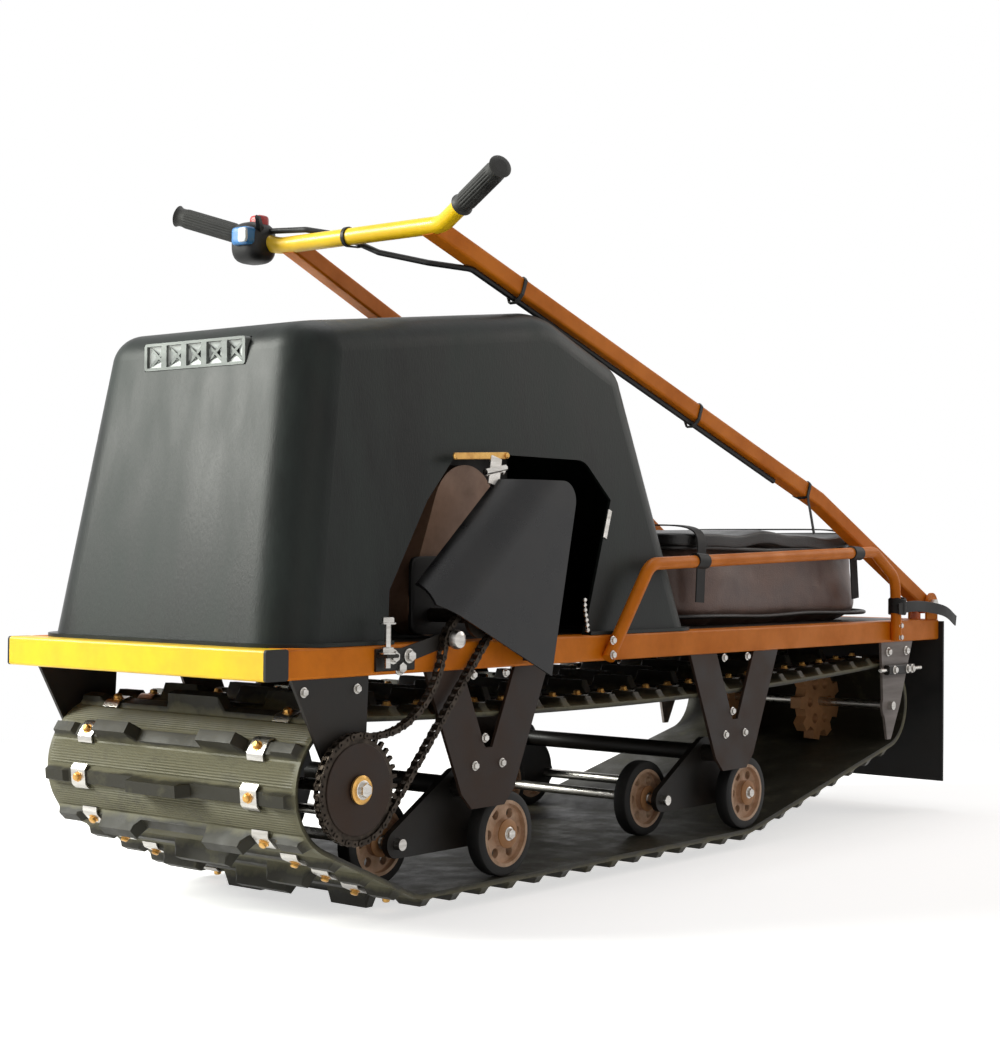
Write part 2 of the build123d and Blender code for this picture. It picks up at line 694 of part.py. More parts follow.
def belt_guard():
    """Sheet outside the chain whose front edge curls inwards along the chain, trimmed to its side view."""
    slant, turn = radians(GUARD_SLANT), radians(GUARD_CURL_TURN)
    ahead = Vector(cos(slant), 0, sin(slant))
    along = Vector(-sin(slant), 0, cos(slant))
    start = Vector(aft(GUARD_LINE[0]), GUARD_Y, GUARD_LINE[1]) - along * GUARD_FLAT
    flat = Line((-GUARD_FLAT, 0), (0, 0))
    curl_end = (GUARD_CURL_R * sin(turn), -GUARD_CURL_R * (1 - cos(turn)))
    curl = TangentArc((0, 0), curl_end, tangent=(1, 0))
    strip = offset(Curve() + [flat, curl], GUARD_SHEET / 2, side=Side.BOTH)
    sheet = extrude(Plane(start, x_dir=ahead, z_dir=along) * make_face(strip.edges()), amount=2 * GUARD_FLAT)
    outline = make_face(Polyline(*((aft(d), z) for d, z in GUARD_OUTLINE), close=True))
    outline = fillet(outline.vertices().group_by(Axis.X)[0], GUARD_ROUND)
    sheet &= side_prism(outline, 0, FRAME_WIDTH)
    lug_x = aft(GUARD_LUG_AFT)
    return sheet + box(lug_x, lug_x + 26, HALF_WIDTH, GUARD_Y, DECK_Z - 32, DECK_Z - 10)


# Hood, engine and lamp

def hood_block(inset):
    """Tapered, well rounded block of the hood, shrunk by an inset."""
    reach = HOOD_CROWN_Z[1] - DECK_Z + CUT_REACH

    def ring(height):
        front = HOOD_FRONT + HOOD_LEAN_FRONT * height
        rear = HOOD_REAR - HOOD_LEAN_REAR * height
        half = HOOD_HALF - HOOD_LEAN_SIDE * height
        shape = RectangleRounded(rear - front - 2 * inset, 2 * (half - inset), HOOD_CORNER_R - inset)
        return Pos((aft(front) + aft(rear)) / 2, 0, DECK_Z + height) * shape

    block = loft([ring(0.0), ring(reach)])
    crown = [(aft(d), z - inset) for d, z in zip(HOOD_CROWN_AFT, HOOD_CROWN_Z)]
    above = FilletPolyline(*crown, radius=HOOD_CROWN_R).edges()
    sky = DECK_Z + 2 * reach
    above += Polyline(crown[-1], (crown[-1][0], sky), (crown[0][0], sky), crown[0]).edges()
    block -= side_prism(make_face(above), -2 * HOOD_HALF, 2 * HOOD_HALF)
    rim = block.edges().filter_by(lambda e: e.center().Z > HOOD_RIM_Z)
    rim = rim.filter_by(lambda e: e.bounding_box().min.Z > HOOD_RIM_Z)
    return fillet(rim, HOOD_TOP_ROUND - inset)


def hood():
    shell = hood_block(0.0)
    width = 2 * (HOOD_HALF + FLANGE)
    length = HOOD_REAR - HOOD_FRONT + 2 * FLANGE
    middle = (aft(HOOD_FRONT) + aft(HOOD_REAR)) / 2
    rim = Pos(middle, 0, DECK_Z) * RectangleRounded(length, width, HOOD_CORNER_R + FLANGE)
    shell += extrude(rim, amount=FLANGE_THICK)
    shell -= hood_block(HOOD_WALL)
    arch = make_face(Polyline(*((aft(d), z) for d, z in ARCH), close=True))
    arch = fillet(arch.vertices().group_by(Axis.Y)[-1], ARCH_ROUND)
    shell -= side_prism(arch, HOOD_HALF - ARCH_DEPTH, HOOD_HALF + FLANGE + 10)
    half_y, half_z = LAMP_WIDTH / 2 + LAMP_GAP, LAMP_HEIGHT / 2 + LAMP_GAP
    x_front, x_back = aft(LAMP_AFT) + CUT_REACH, aft(LAMP_AFT) - LAMP_DEPTH - LAMP_GAP
    return shell - box(x_front, x_back, -half_y, half_y, LAMP_Z - half_z, LAMP_Z + half_z)


def engine():
    x, y, z = ENGINE_SIZE
    block = box(aft(ENGINE_AFT - x / 2), aft(ENGINE_AFT + x / 2), -y / 2, y / 2, DECK_Z, DECK_Z + z)
    return fillet(block.edges().filter_by(Axis.Z), 20.0)


def drive_case():
    rounds = Pos(aft(CASE_TOP[0]), CASE_TOP[1]) * Circle(CASE_TOP[2])
    rounds += Pos(aft(PINION_AFT), PINION_Z + 14) * Circle(CASE_LOW_R)
    return side_prism(make_hull(rounds.edges()), *CASE_Y)


def lamp_housing():
    front = aft(LAMP_AFT)
    wide, tall = LAMP_WIDTH / 2, LAMP_HEIGHT / 2
    body = box(front, front - LAMP_DEPTH, -wide, wide, LAMP_Z - tall, LAMP_Z + tall)
    body = fillet(body.edges().filter_by(Axis.X), 5.0)
    pitch = LAMP_WIDTH / LAMP_CELLS
    for index in range(LAMP_CELLS):
        y = (index - (LAMP_CELLS - 1) / 2) * pitch
        half = LAMP_LENS / 2
        body -= box(front - LAMP_RECESS, front + 1, y - half, y + half, LAMP_Z - half, LAMP_Z + half)
    return body


def lamp_lenses():
    front = aft(LAMP_AFT)
    pitch = LAMP_WIDTH / LAMP_CELLS
    half = LAMP_LENS / 2 - FIT_GAP
    lenses = []
    for index in range(LAMP_CELLS):
        y = (index - (LAMP_CELLS - 1) / 2) * pitch
        lenses.append(box(front - LAMP_RECESS, front - 2, y - half, y + half, LAMP_Z - half, LAMP_Z + half))
    return Compound(children=lenses)


# Rear deck

def tool_bag():
    block = box(aft(BAG_FRONT), aft(BAG_REAR), -BAG_HALF, BAG_HALF, DECK_Z + FIT_GAP, BAG_TOP_Z)
    return fillet(block.edges(), BAG_ROUND)


def guard_rail(side):
    y = side * (HALF_WIDTH + GUARD_TUBE_R + FIT_GAP)
    return tube_along([(aft(d), y, z) for d, z in GUARD_POINTS], GUARD_BEND_R, GUARD_TUBE_R)


# Handlebar

def arm_points(side):
    lean = (PIVOT_Y - BAR_ARM_Y) / (PIVOT_AFT - BAR_AFT)
    bend_y = BAR_ARM_Y + lean * (BEND_AFT - BAR_AFT)
    return (
        Vector(aft(PIVOT_AFT), side * PIVOT_Y, PIVOT_Z),
        Vector(aft(BEND_AFT), side * bend_y, BEND_Z),
        Vector(aft(BAR_AFT), side * BAR_ARM_Y, BAR_Z),
    )


def arm(side):
    foot, knee, top = arm_points(side)
    start = foot - (knee - foot).normalized() * (ARM_TUBE / 2)
    path = Polyline(start, knee, top)
    plane = Plane(start, x_dir=(0, 1, 0), z_dir=knee - start)
    section = plane * RectangleRounded(ARM_TUBE, ARM_TUBE, TUBE_ROUND)
    bar = sweep(section, path=path, transition=Transition.RIGHT)
    bar -= side_rod(foot.X, foot.Z, PIN_R + PIN_GAP, side * PIVOT_Y - CUT_REACH, side * PIVOT_Y + CUT_REACH)
    near, far = side * BAR_ARM_Y - CUT_REACH, side * BAR_ARM_Y + CUT_REACH
    return bar - side_rod(top.X, top.Z, BAR_TUBE_R + FIT_GAP, near, far)


def bar_points():
    gx, gy, gz = GRIP_END
    return (
        (aft(gx), -gy, gz), (aft(BAR_AFT), -BAR_BEND_Y, BAR_Z),
        (aft(BAR_AFT), BAR_BEND_Y, BAR_Z), (aft(gx), gy, gz),
    )


def handlebar_tube():
    return tube_along(bar_points(), BAR_BEND_R, BAR_TUBE_R)


def bar_end(side):
    """Inner point of a bar end, its direction outwards, and its free length."""
    gx, gy, gz = GRIP_END
    inner = Vector(aft(BAR_AFT), side * BAR_BEND_Y, BAR_Z)
    outer = Vector(aft(gx), side * gy, gz)
    return inner, (outer - inner).normalized(), (outer - inner).length


def sleeve(side, start, length, radius, bore):
    """Sleeve on a bar end, measured inwards from the end of the bar."""
    inner, way, free = bar_end(side)
    at = inner + way * (free - start - length)
    ring = Circle(radius) - Circle(bore) if bore > 0 else Circle(radius)
    return extrude(Plane(at, z_dir=way) * ring, amount=length)


def grip(side):
    tube = sleeve(side, 0.0, GRIP_LENGTH, GRIP_R, BAR_TUBE_R + FIT_GAP)
    return tube + sleeve(side, -GRIP_CAP, GRIP_CAP, GRIP_R, 0.0)


def control_housing():
    ring = sleeve(-1.0, GRIP_LENGTH + 2, CONTROL_LENGTH, CONTROL_R, BAR_TUBE_R + FIT_GAP)
    inner, way, free = bar_end(-1.0)
    mid = inner + way * (free - GRIP_LENGTH - 2 - CONTROL_LENGTH / 2)
    plane = Plane(mid, x_dir=way, z_dir=(0, 0, 1))
    drop = extrude(plane * RectangleRounded(CONTROL_LENGTH, 2 * CONTROL_R, 6.0), amount=-CONTROL_DROP)
    start = Plane(mid - way * CUT_REACH, z_dir=way)
    drop -= extrude(start * Circle(BAR_TUBE_R + FIT_GAP), amount=2 * CUT_REACH)
    return ring + drop


def control_frame():
    """Middle of the control housing with its directions outwards, upwards and forwards."""
    inner, way, free = bar_end(-1.0)
    mid = inner + way * (free - GRIP_LENGTH - 2 - CONTROL_LENGTH / 2)
    up = (Vector(0, 0, 1) - way * way.Z).normalized()
    return mid, way, up, up.cross(way)


def stop_button():
    mid, way, up, front = control_frame()
    return extrude(Plane(mid + up * (CONTROL_R + FIT_GAP), z_dir=up) * Circle(STOP_R), amount=STOP_RISE)


def switch_block():
    mid, way, up, front = control_frame()
    length, width, rise = SWITCH_SIZE
    place = Plane(mid + front * (CONTROL_R + FIT_GAP) + up * SWITCH_LIFT, x_dir=way, z_dir=front)
    return extrude(place * RectangleRounded(length, width, 3.0), amount=rise)


def throttle_lever():
    """Flat thumb lever that stands up and forwards from the inner end of the housing."""
    mid, way, up, front = control_frame()
    out = (front + up * 0.8).normalized()
    foot, tip = CONTROL_R + LEVER_FOOT_R + FIT_GAP, CONTROL_R + LEVER_REACH
    rounds = Pos(foot, 0) * Circle(LEVER_FOOT_R) + Pos(tip, 0) * Circle(LEVER_TIP_R)
    start = mid - way * (CONTROL_LENGTH / 2)
    return extrude(Plane(start, x_dir=out, z_dir=way) * make_hull(rounds.edges()), amount=LEVER_PLATE)


def cable():
    foot, knee, top = arm_points(1.0)
    way = (knee - top).normalized()
    side = Vector(-way.Z, 0, way.X).normalized() * (ARM_TUBE / 2 + CABLE_R + CABLE_GAP)
    points = [(aft(d), y, z) for d, y, z in CABLE_START]
    points += [tuple(top + way * s + side) for s in CABLE_ARM_SPAN]
    return tube_along(points, CABLE_BEND_R, CABLE_R)


def pivot_ears(side):
    """Clevis on top of a rail round the foot of an arm."""
    x, z = aft(PIVOT_AFT), PIVOT_Z
    outline = Pos(x, z) * Circle(EAR_HALF) + Pos(x, (z + DECK_Z) / 2) * Rectangle(2 * EAR_HALF, z - DECK_Z)
    outline -= Pos(x, z) * Circle(PIN_R)
    gap = ARM_TUBE / 2 + EAR_GAP
    mid = side * PIVOT_Y
    ears = []
    for way in (-1.0, 1.0):
        ears.append(side_prism(outline, mid + way * gap, mid + way * (gap + EAR)))
    return Compound(children=ears)


def pivot_bolt(side):
    x, z = aft(PIVOT_AFT), PIVOT_Z
    reach = ARM_TUBE / 2 + EAR_GAP + EAR
    mid = side * PIVOT_Y
    bolt = side_rod(x, z, PIN_R, mid - reach, mid + reach)
    for way in (-1.0, 1.0):
        head = Pos(x, z) * RegularPolygon(10.5, 6)
        bolt += side_prism(head, mid + way * reach, mid + way * (reach + 8))
    return bolt


def both(maker):
    """Left and right pieces of one kind, kept as separate solids."""
    solids = []
    for _, side in SIDES:
        solids += maker(side).solids()
    return Compound(children=solids)


# Export

PARTS = {
    "nose_beam": nose_beam(),
    "nose_caps": nose_caps(),
    "rear_beam": rear_beam(),
    "deck": deck(),
    "hitch_plate": hitch(),
    "mudflap": mudflap(),
    "track": track(),
    "drive_sprockets": track_sprockets(DRIVE_AFT, DRIVE_Z, DRIVE_BELT_R),
    "idler_sprockets": track_sprockets(IDLER_AFT, IDLER_Z, IDLER_BELT_R),
    "drive_axle": drive_axle(),
    "idler_axle": idler_axle(),
    "wheel_axles": wheel_axles(),
    "bogie_tubes": bogie_tubes(),
    "chain": chain(),
    "driven_sprocket": driven_sprocket(),
    "pinion": pinion(),
    "chain_tensioner": tensioner(),
    "belt_guard": belt_guard(),
    "hood": hood(),
    "engine": engine(),
    "drive_case": drive_case(),
    "lamp_housing": lamp_housing(),
    "lamp_lenses": lamp_lenses(),
    "tool_bag": tool_bag(),
    "handlebar_tube": handlebar_tube(),
    "control_housing": control_housing(),
    "stop_button": stop_button(),
    "switch_block": switch_block(),
    "throttle_lever": throttle_lever(),
    "wheel_tyres": both(wheel_tyres),
    "wheel_hubs": both(wheel_hubs),
    "bogie_plates": both(bogie_plates),
    "vee_plates": both(vee_plates),
    "front_hangers": both(front_hanger),
    "rear_hangers": both(rear_hanger),
    "grips": both(grip),
    "pivot_ears": both(pivot_ears),
    "pivot_bolts": both(pivot_bolt),
    "control_cable": cable(),
}
for name, sign in SIDES:
    PARTS["rail_" + name] = rail(sign)
    PARTS["guard_rail_" + name] = guard_rail(sign)
    PARTS["arm_" + name] = arm(sign)

os.makedirs("parts", exist_ok=True)
for node, shape in PARTS.items():
    export_step(shape, "parts/" + node + ".step")
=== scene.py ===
"""Look of the tracked snow tug: finishes, fine detail and a studio over its CAD frame."""

import json
import logging
import math
from dataclasses import dataclass
from enum import Enum
from typing import Any, Dict, List, Optional, Sequence, Tuple

import bpy
import numpy as np
from mathutils import Matrix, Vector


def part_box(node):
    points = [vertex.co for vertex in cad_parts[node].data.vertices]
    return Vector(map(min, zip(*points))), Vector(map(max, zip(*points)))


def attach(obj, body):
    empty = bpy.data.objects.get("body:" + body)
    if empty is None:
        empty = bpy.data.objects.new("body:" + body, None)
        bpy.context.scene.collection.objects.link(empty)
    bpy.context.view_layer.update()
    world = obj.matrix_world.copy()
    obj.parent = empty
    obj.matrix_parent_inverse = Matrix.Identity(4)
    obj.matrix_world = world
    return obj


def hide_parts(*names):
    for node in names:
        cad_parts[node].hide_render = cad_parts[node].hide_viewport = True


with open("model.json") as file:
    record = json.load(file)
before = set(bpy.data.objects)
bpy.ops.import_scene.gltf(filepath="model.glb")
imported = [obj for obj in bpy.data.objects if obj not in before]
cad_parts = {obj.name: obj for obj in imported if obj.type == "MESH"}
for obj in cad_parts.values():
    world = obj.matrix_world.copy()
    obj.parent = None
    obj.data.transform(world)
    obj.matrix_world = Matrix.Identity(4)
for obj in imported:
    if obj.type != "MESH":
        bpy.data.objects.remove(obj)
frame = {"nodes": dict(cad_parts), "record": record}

logging.basicConfig(level=logging.INFO, format="%(message)s")
LOG = logging.getLogger("snow_tug")
X_AXIS, Y_AXIS, Z_AXIS = np.eye(3)
ALL_SMOOTH = 180.0          # crease angle of a piece without sharp edges
FACETED = 10.0              # crease angle of a piece whose faces all show

Colour = Tuple[float, float, float]
Point = Tuple[float, float, float]
Spot = Tuple[float, float]
Array = np.ndarray
Tree = bpy.types.NodeTree
Socket = bpy.types.NodeSocket


class Body(Enum):
    """Bodies of the frame that a piece can ride on."""

    CHASSIS = "chassis"
    HANDLEBAR = "handlebar"


class Surface(Enum):
    """Kind of fine surface that a finish has."""

    SMOOTH = "smooth"
    PEBBLED = "pebbled"
    BRUSHED = "brushed"
    SCUFFED = "scuffed"


STRETCH: Dict[Surface, Point] = {Surface.BRUSHED: (0.3, 0.3, 3.0), Surface.SCUFFED: (1.6, 1.6, 0.5)}
PATCH_OCTAVES, GRAIN_OCTAVES = 5.0, 3.0
PATCH_STOPS = (0.36, 0.68)  # noise at which the first colour ends and the second is full
ROUGH_STOPS = (0.3, 0.7)    # noise at the lowest and at the highest roughness
BUMP_DEPTH = 0.002


def feed(tree: Tree, node: bpy.types.Node, inputs: Dict[Any, Any]) -> None:
    """Sets a node's inputs.

    Args:
        tree: node tree of a material or of the world.
        node: the node.
        inputs: for each input, the socket that feeds it or its own value.
    """
    for key, value in inputs.items():
        if isinstance(value, Socket):
            tree.links.new(value, node.inputs[key])
        else:
            node.inputs[key].default_value = value


def add_node(tree: Tree, kind: str, inputs: Dict[Any, Any], operation: str = "") -> bpy.types.Node:
    """Adds a shader node.

    Args:
        tree: node tree of a material or of the world.
        kind: kind of the node.
        inputs: for each input, the socket that feeds it or its own value.
        operation: what a maths node does.

    Returns:
        The node.
    """
    node = tree.nodes.new("ShaderNode" + kind)
    if operation:
        node.operation = operation
    feed(tree, node, inputs)
    return node


@dataclass(frozen=True)
class Finish:
    """Procedural finish in object coordinates, so it stays on the piece as it moves.

    Args:
        slot: material slot of the record that the finish belongs to.
        colour: main colour, linear.
        second: colour that shows in patches.
        rough: lowest and highest roughness.
        surface: kind of fine surface.
        metallic: how much of a metal it is.
        patch: size of the colour patches, per metre.
        grain: size of the fine bumps, per metre.
        bump: strength of the fine bumps.
        coat: clear coat weight.
        see_through: transmission weight.
        lit_to_shaded: how much the painted light and shade of the piece's points brings out the second colour.
        gloss: specular level.
        name: name of the finish where it isn't the slot's own.
    """

    slot: str
    colour: Colour
    second: Colour
    rough: Tuple[float, float]
    surface: Surface = Surface.SMOOTH
    metallic: float = 0.0
    patch: float = 14.0
    grain: float = 500.0
    bump: float = 0.08
    coat: float = 0.0
    see_through: float = 0.0
    lit_to_shaded: float = 0.0
    gloss: float = 0.4
    name: str = ""

    def material(self) -> bpy.types.Material:
        """Builds the material once and gives the same one afterwards.

        Returns:
            The material of this finish.
        """
        name = "finish_" + (self.name or self.slot)
        if name in bpy.data.materials:
            return bpy.data.materials[name]
        material = bpy.data.materials.new(name)
        material.use_nodes = True
        tree = material.node_tree
        place = add_node(tree, "TexCoord", {}).outputs["Object"]
        patches = self._noise(tree, place, self.patch, PATCH_OCTAVES)
        ramp = add_node(tree, "ValToRGB", {"Fac": self._with_painted_light(tree, patches)})
        for stop, position, colour in zip(ramp.color_ramp.elements, PATCH_STOPS, (self.colour, self.second)):
            stop.position, stop.color = position, (*colour, 1.0)
        spread = add_node(tree, "MapRange", {
            "Value": patches, "From Min": ROUGH_STOPS[0], "From Max": ROUGH_STOPS[1], "To Min": self.rough[0],
            "To Max": self.rough[1]})
        bump = add_node(tree, "Bump", {
            "Strength": self.bump, "Distance": BUMP_DEPTH, "Height": self._relief(tree, place)})
        feed(tree, tree.nodes["Principled BSDF"], {
            "Base Color": ramp.outputs["Color"], "Roughness": spread.outputs["Result"],
            "Normal": bump.outputs["Normal"], "Metallic": self.metallic, "Coat Weight": self.coat,
            "Specular IOR Level": self.gloss, "Transmission Weight": self.see_through})
        return material

    def _with_painted_light(self, tree: Tree, patches: Socket) -> Socket:
        """Adds the piece's painted light and shade to the patches.

        Args:
            tree: node tree of the material.
            patches: noise of the patches.

        Returns:
            Patches with the painted light and shade, or the patches alone where the finish has none.
        """
        if not self.lit_to_shaded:
            return patches
        painted_light_shade = add_node(tree, "Attribute", {})
        painted_light_shade.attribute_name = "painted_light_shade"
        return add_node(tree, "Math", {0: painted_light_shade.outputs["Fac"], 1: self.lit_to_shaded, 2: patches}, "MULTIPLY_ADD").outputs[0]

    def _noise(self, tree: Tree, place: Socket, scale: float, octaves: float) -> Socket:
        """Adds a noise texture, stretched as the kind of surface asks.

        Args:
            tree: node tree of the material.
            place: coordinates.
            scale: size of the noise, per metre.
            octaves: layers of finer noise.

        Returns:
            Output of the noise.
        """
        mapping = add_node(tree, "Mapping", {"Vector": place, "Scale": STRETCH.get(self.surface, (1.0, 1.0, 1.0))})
        return add_node(tree, "TexNoise", {"Vector": mapping.outputs["Vector"], "Scale": scale, "Detail": octaves,
                                           "Roughness": 0.6}).outputs["Fac"]

    def _relief(self, tree: Tree, place: Socket) -> Socket:
        """Adds the texture that drives the fine bumps.

        Args:
            tree: node tree of the material.
            place: coordinates.

        Returns:
            Height of the bumps.
        """
        if self.surface is Surface.PEBBLED:
            return add_node(tree, "TexVoronoi", {"Vector": place, "Scale": self.grain}).outputs["Distance"]
        return self._noise(tree, place, self.grain, GRAIN_OCTAVES)


FINISHES: Dict[str, Finish] = {f.name or f.slot: f for f in (
    # Painted light: the yellow and the orange paint are one orange paint. The yellow is painted light, the sunlit look
    # of the nose beam and the handlebar crossbar, and the orange is that paint's own colour.
    Finish("yellow_paint", (0.92, 0.60, 0.004), (0.80, 0.48, 0.004), (0.3, 0.5), coat=0.15),
    Finish("orange_paint", (0.80, 0.225, 0.006), (0.62, 0.16, 0.005), (0.34, 0.55), gloss=0.2),
    Finish("black_paint", (0.008, 0.007, 0.006), (0.020, 0.016, 0.013), (0.35, 0.6), gloss=0.25),
    Finish("brown_paint", (0.018, 0.010, 0.007), (0.034, 0.018, 0.011), (0.4, 0.65), gloss=0.25),
    Finish("grey_paint", (0.22, 0.19, 0.175), (0.12, 0.10, 0.09), (0.35, 0.6), Surface.BRUSHED),
    Finish("guard_paint", (0.006, 0.006, 0.007), (0.012, 0.011, 0.011), (0.22, 0.4), gloss=0.35),
    Finish("black_plastic", (0.008, 0.008, 0.008), (0.018, 0.018, 0.018), (0.4, 0.6), gloss=0.3),
    Finish("tan_plastic", (0.52, 0.26, 0.11), (0.36, 0.17, 0.07), (0.4, 0.65)),
    Finish("hub_plastic", (0.72, 0.50, 0.35), (0.44, 0.27, 0.165), (0.4, 0.65), patch=40.0),
    Finish("hood_plastic", (0.0066, 0.0080, 0.0072), (0.0185, 0.0245, 0.022), (0.32, 0.5), Surface.SCUFFED,
           patch=7.0, grain=260.0, bump=0.1, gloss=0.18),
    Finish("blue_plastic", (0.06, 0.24, 0.55), (0.04, 0.18, 0.45), (0.3, 0.45)),
    Finish("red_plastic", (0.52, 0.02, 0.018), (0.4, 0.012, 0.012), (0.28, 0.42)),
    Finish("cable_sheath", (0.008, 0.008, 0.009), (0.02, 0.02, 0.021), (0.4, 0.6), gloss=0.3),
    Finish("steel", (0.62, 0.60, 0.57), (0.42, 0.40, 0.37), (0.2, 0.42), Surface.BRUSHED, metallic=1.0, patch=60.0),
    Finish("chain_steel", (0.055, 0.042, 0.032), (0.022, 0.017, 0.013), (0.35, 0.6), metallic=0.85, patch=70.0),
    Finish("engine_metal", (0.03, 0.027, 0.025), (0.015, 0.013, 0.012), (0.4, 0.65), metallic=0.4),
    Finish("case_metal", (0.40, 0.24, 0.16), (0.24, 0.135, 0.085), (0.25, 0.45), metallic=0.2),
    Finish("case_metal", (0.72, 0.42, 0.12), (0.5, 0.26, 0.07), (0.25, 0.45), metallic=0.8, patch=60.0,
           name="brass"),
    Finish("lamp_aluminium", (0.20, 0.215, 0.205), (0.14, 0.15, 0.145), (0.4, 0.6), Surface.BRUSHED, metallic=0.3),
    # Painted reflection: the reflectors are pale grey paint, not metal, and stand in for the bright glare of the real
    # aluminium reflectors.
    Finish("lamp_aluminium", (0.66, 0.69, 0.68), (0.52, 0.55, 0.54), (0.3, 0.5), Surface.BRUSHED, name="reflector"),
    Finish("lamp_glass", (0.9, 0.92, 0.92), (0.8, 0.83, 0.84), (0.02, 0.08), see_through=0.95, bump=0.0),
    # Painted sheen: the bag's pinkish brown stands in for light on its glossy sides. The bag itself is black, like the
    # lid leatherette below.
    Finish("bag_leatherette", (0.13, 0.082, 0.068), (0.21, 0.135, 0.112), (0.28, 0.45), Surface.PEBBLED,
           grain=420.0, bump=0.2),
    Finish("bag_leatherette", (0.006, 0.006, 0.006), (0.016, 0.014, 0.013), (0.3, 0.5), Surface.PEBBLED,
           grain=420.0, bump=0.2, name="lid_leatherette"),
    Finish("blue_plastic", (0.75, 0.78, 0.8), (0.62, 0.66, 0.7), (0.3, 0.45), name="white_plastic"),
    Finish("grip_rubber", (0.014, 0.014, 0.013), (0.034, 0.034, 0.031), (0.45, 0.7)),
    Finish("wheel_rubber", (0.008, 0.008, 0.008), (0.018, 0.017, 0.016), (0.5, 0.75), gloss=0.25),
    # Painted light and shade: the pale olive second colour is painted light on the belt face, and the dark first colour
    # is painted shade on the lugs and the inner face.
    Finish("track_rubber", (0.024, 0.022, 0.0145), (0.130, 0.122, 0.076), (0.4, 0.65), patch=22.0, bump=0.2,
           gloss=0.25, lit_to_shaded=0.22),
    Finish("rubber_sheet", (0.006, 0.006, 0.006), (0.014, 0.013, 0.012), (0.45, 0.7), gloss=0.25),
)}


@dataclass
class Dresser:
    """Puts the finishes on the CAD nodes.

    Args:
        finishes: finish of each slot.
        own: finish of a node that looks other than the rest of its slot.
    """

    finishes: Dict[str, Finish]
    own: Tuple[Tuple[str, str], ...] = (("chain_tensioner", "black_paint"),)

    def build(self) -> None:
        """Gives each CAD node its own finish or that of its slot in the record."""
        for part in frame["record"]["subparts"]:
            node = frame["nodes"][part["node"]]
            finish = dict(self.own).get(part["node"], part["material_slot"])
            node.data.materials.clear()
            node.data.materials.append(self.finishes[finish].material())
            LOG.info("node %s: %s", part["node"], finish)


@dataclass
class Shell:
    """Closed surface as points and groups of faces with the same number of corners.

    Args:
        points: corner places, one row each.
        faces: arrays of corner numbers, one row a face.
    """

    points: Array
    faces: List[Array]

    def volume(self) -> float:
        """Gives the enclosed volume: the sum of tetrahedra from the origin to each fan triangle.

        Returns:
            Volume, negative when the faces point inwards.
        """
        total = 0.0
        for group in self.faces:
            corner = self.points[group]
            first, rest = corner[:, :1], corner[:, 1:]
            total += float((np.cross(rest[:, :-1], rest[:, 1:]) * first).sum())
        return total / 6.0

    def outward(self) -> "Shell":
        """Gives the same surface with its faces pointing outwards."""
        return self if self.volume() >= 0.0 else Shell(self.points, [g[:, ::-1] for g in self.faces])


def corners(node: str) -> Tuple[Array, Array]:
    """Gives the lowest and the highest corner of a CAD node."""
    low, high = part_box(node)
    return np.array(low), np.array(high)


def around(count: int) -> Array:
    """Gives the angles of evenly spaced points of a turn."""
    return np.arange(count) * 2 * math.pi / count


def unit(vectors: Array) -> Array:
    """Scales vectors to length one."""
    return vectors / np.linalg.norm(vectors, axis=-1, keepdims=True)


def squared(rays: Array, power: float) -> Array:
    """Scales rays to a rounded square or block, where the sum of |coordinate|^power is 1."""
    return rays * (np.abs(rays) ** power).sum(-1, keepdims=True) ** (-1.0 / power)


def ramp(value: Array, start: float, end: float) -> Array:
    """Rises evenly from 0 at start to 1 at end."""
    return np.clip((value - start) / (end - start), 0.0, 1.0)


def merged(shells: Sequence[Shell]) -> Shell:
    """Puts several surfaces into one, each turned outwards.

    Args:
        shells: the surfaces.

    Returns:
        One surface with all their faces.
    """
    starts = np.cumsum([0] + [len(s.points) for s in shells])
    faces = [group + start for s, start in zip(shells, starts) for group in s.outward().faces]
    return Shell(np.concatenate([s.points for s in shells]), faces)


def mirrored(shells: Sequence[Shell]) -> Shell:
    """Puts surfaces of the left side and their mirror images in y into one.

    Args:
        shells: the surfaces.

    Returns:
        One surface with both sides.
    """
    return merged([Shell(s.points * (1.0, side, 1.0), s.faces) for s in shells for side in (1.0, -1.0)])


def tube_faces(rows: int, columns: int, closed: bool = False) -> List[Array]:
    """Numbers the faces on rings of points that follow each other.

    Args:
        rows: number of rings.
        columns: points of a ring.
        closed: whether the last ring joins the first, in place of two flat ends.

    Returns:
        The quads between the rings, and the ends.
    """
    i, j = np.meshgrid(np.arange(rows if closed else rows - 1), np.arange(columns), indexing="ij")
    k, m = (i + 1) % rows, (j + 1) % columns
    quads = np.stack((i * columns + j, k * columns + j, k * columns + m, i * columns + m), axis=-1).reshape(-1, 4)
    ring = np.arange(columns)
    return [quads] if closed else [quads, np.stack((ring[::-1], ring + (rows - 1) * columns))]


def swept(path: Sequence[Point], profile: Array, up: Array, closed: bool = False) -> Shell:
    """Carries a closed profile along a path: point = path + a * side + b * top for each profile point (a, b).

    Args:
        path: points of the path.
        profile: points (a, b) of the profile.
        up: direction that the profile's b leans to.
        closed: whether the path closes on itself.

    Returns:
        Closed surface, with flat ends on an open path.
    """
    path = np.asarray(path, float)
    way = unit(np.roll(path, -1, 0) - np.roll(path, 1, 0) if closed else np.gradient(path, axis=0))
    side = unit(np.cross(np.broadcast_to(up, path.shape), way))
    top = np.cross(way, side)
    points = path[:, None] + profile[None, :, :1] * side[:, None] + profile[None, :, 1:] * top[:, None]
    return Shell(points.reshape(-1, 3), tube_faces(len(path), len(profile), closed))


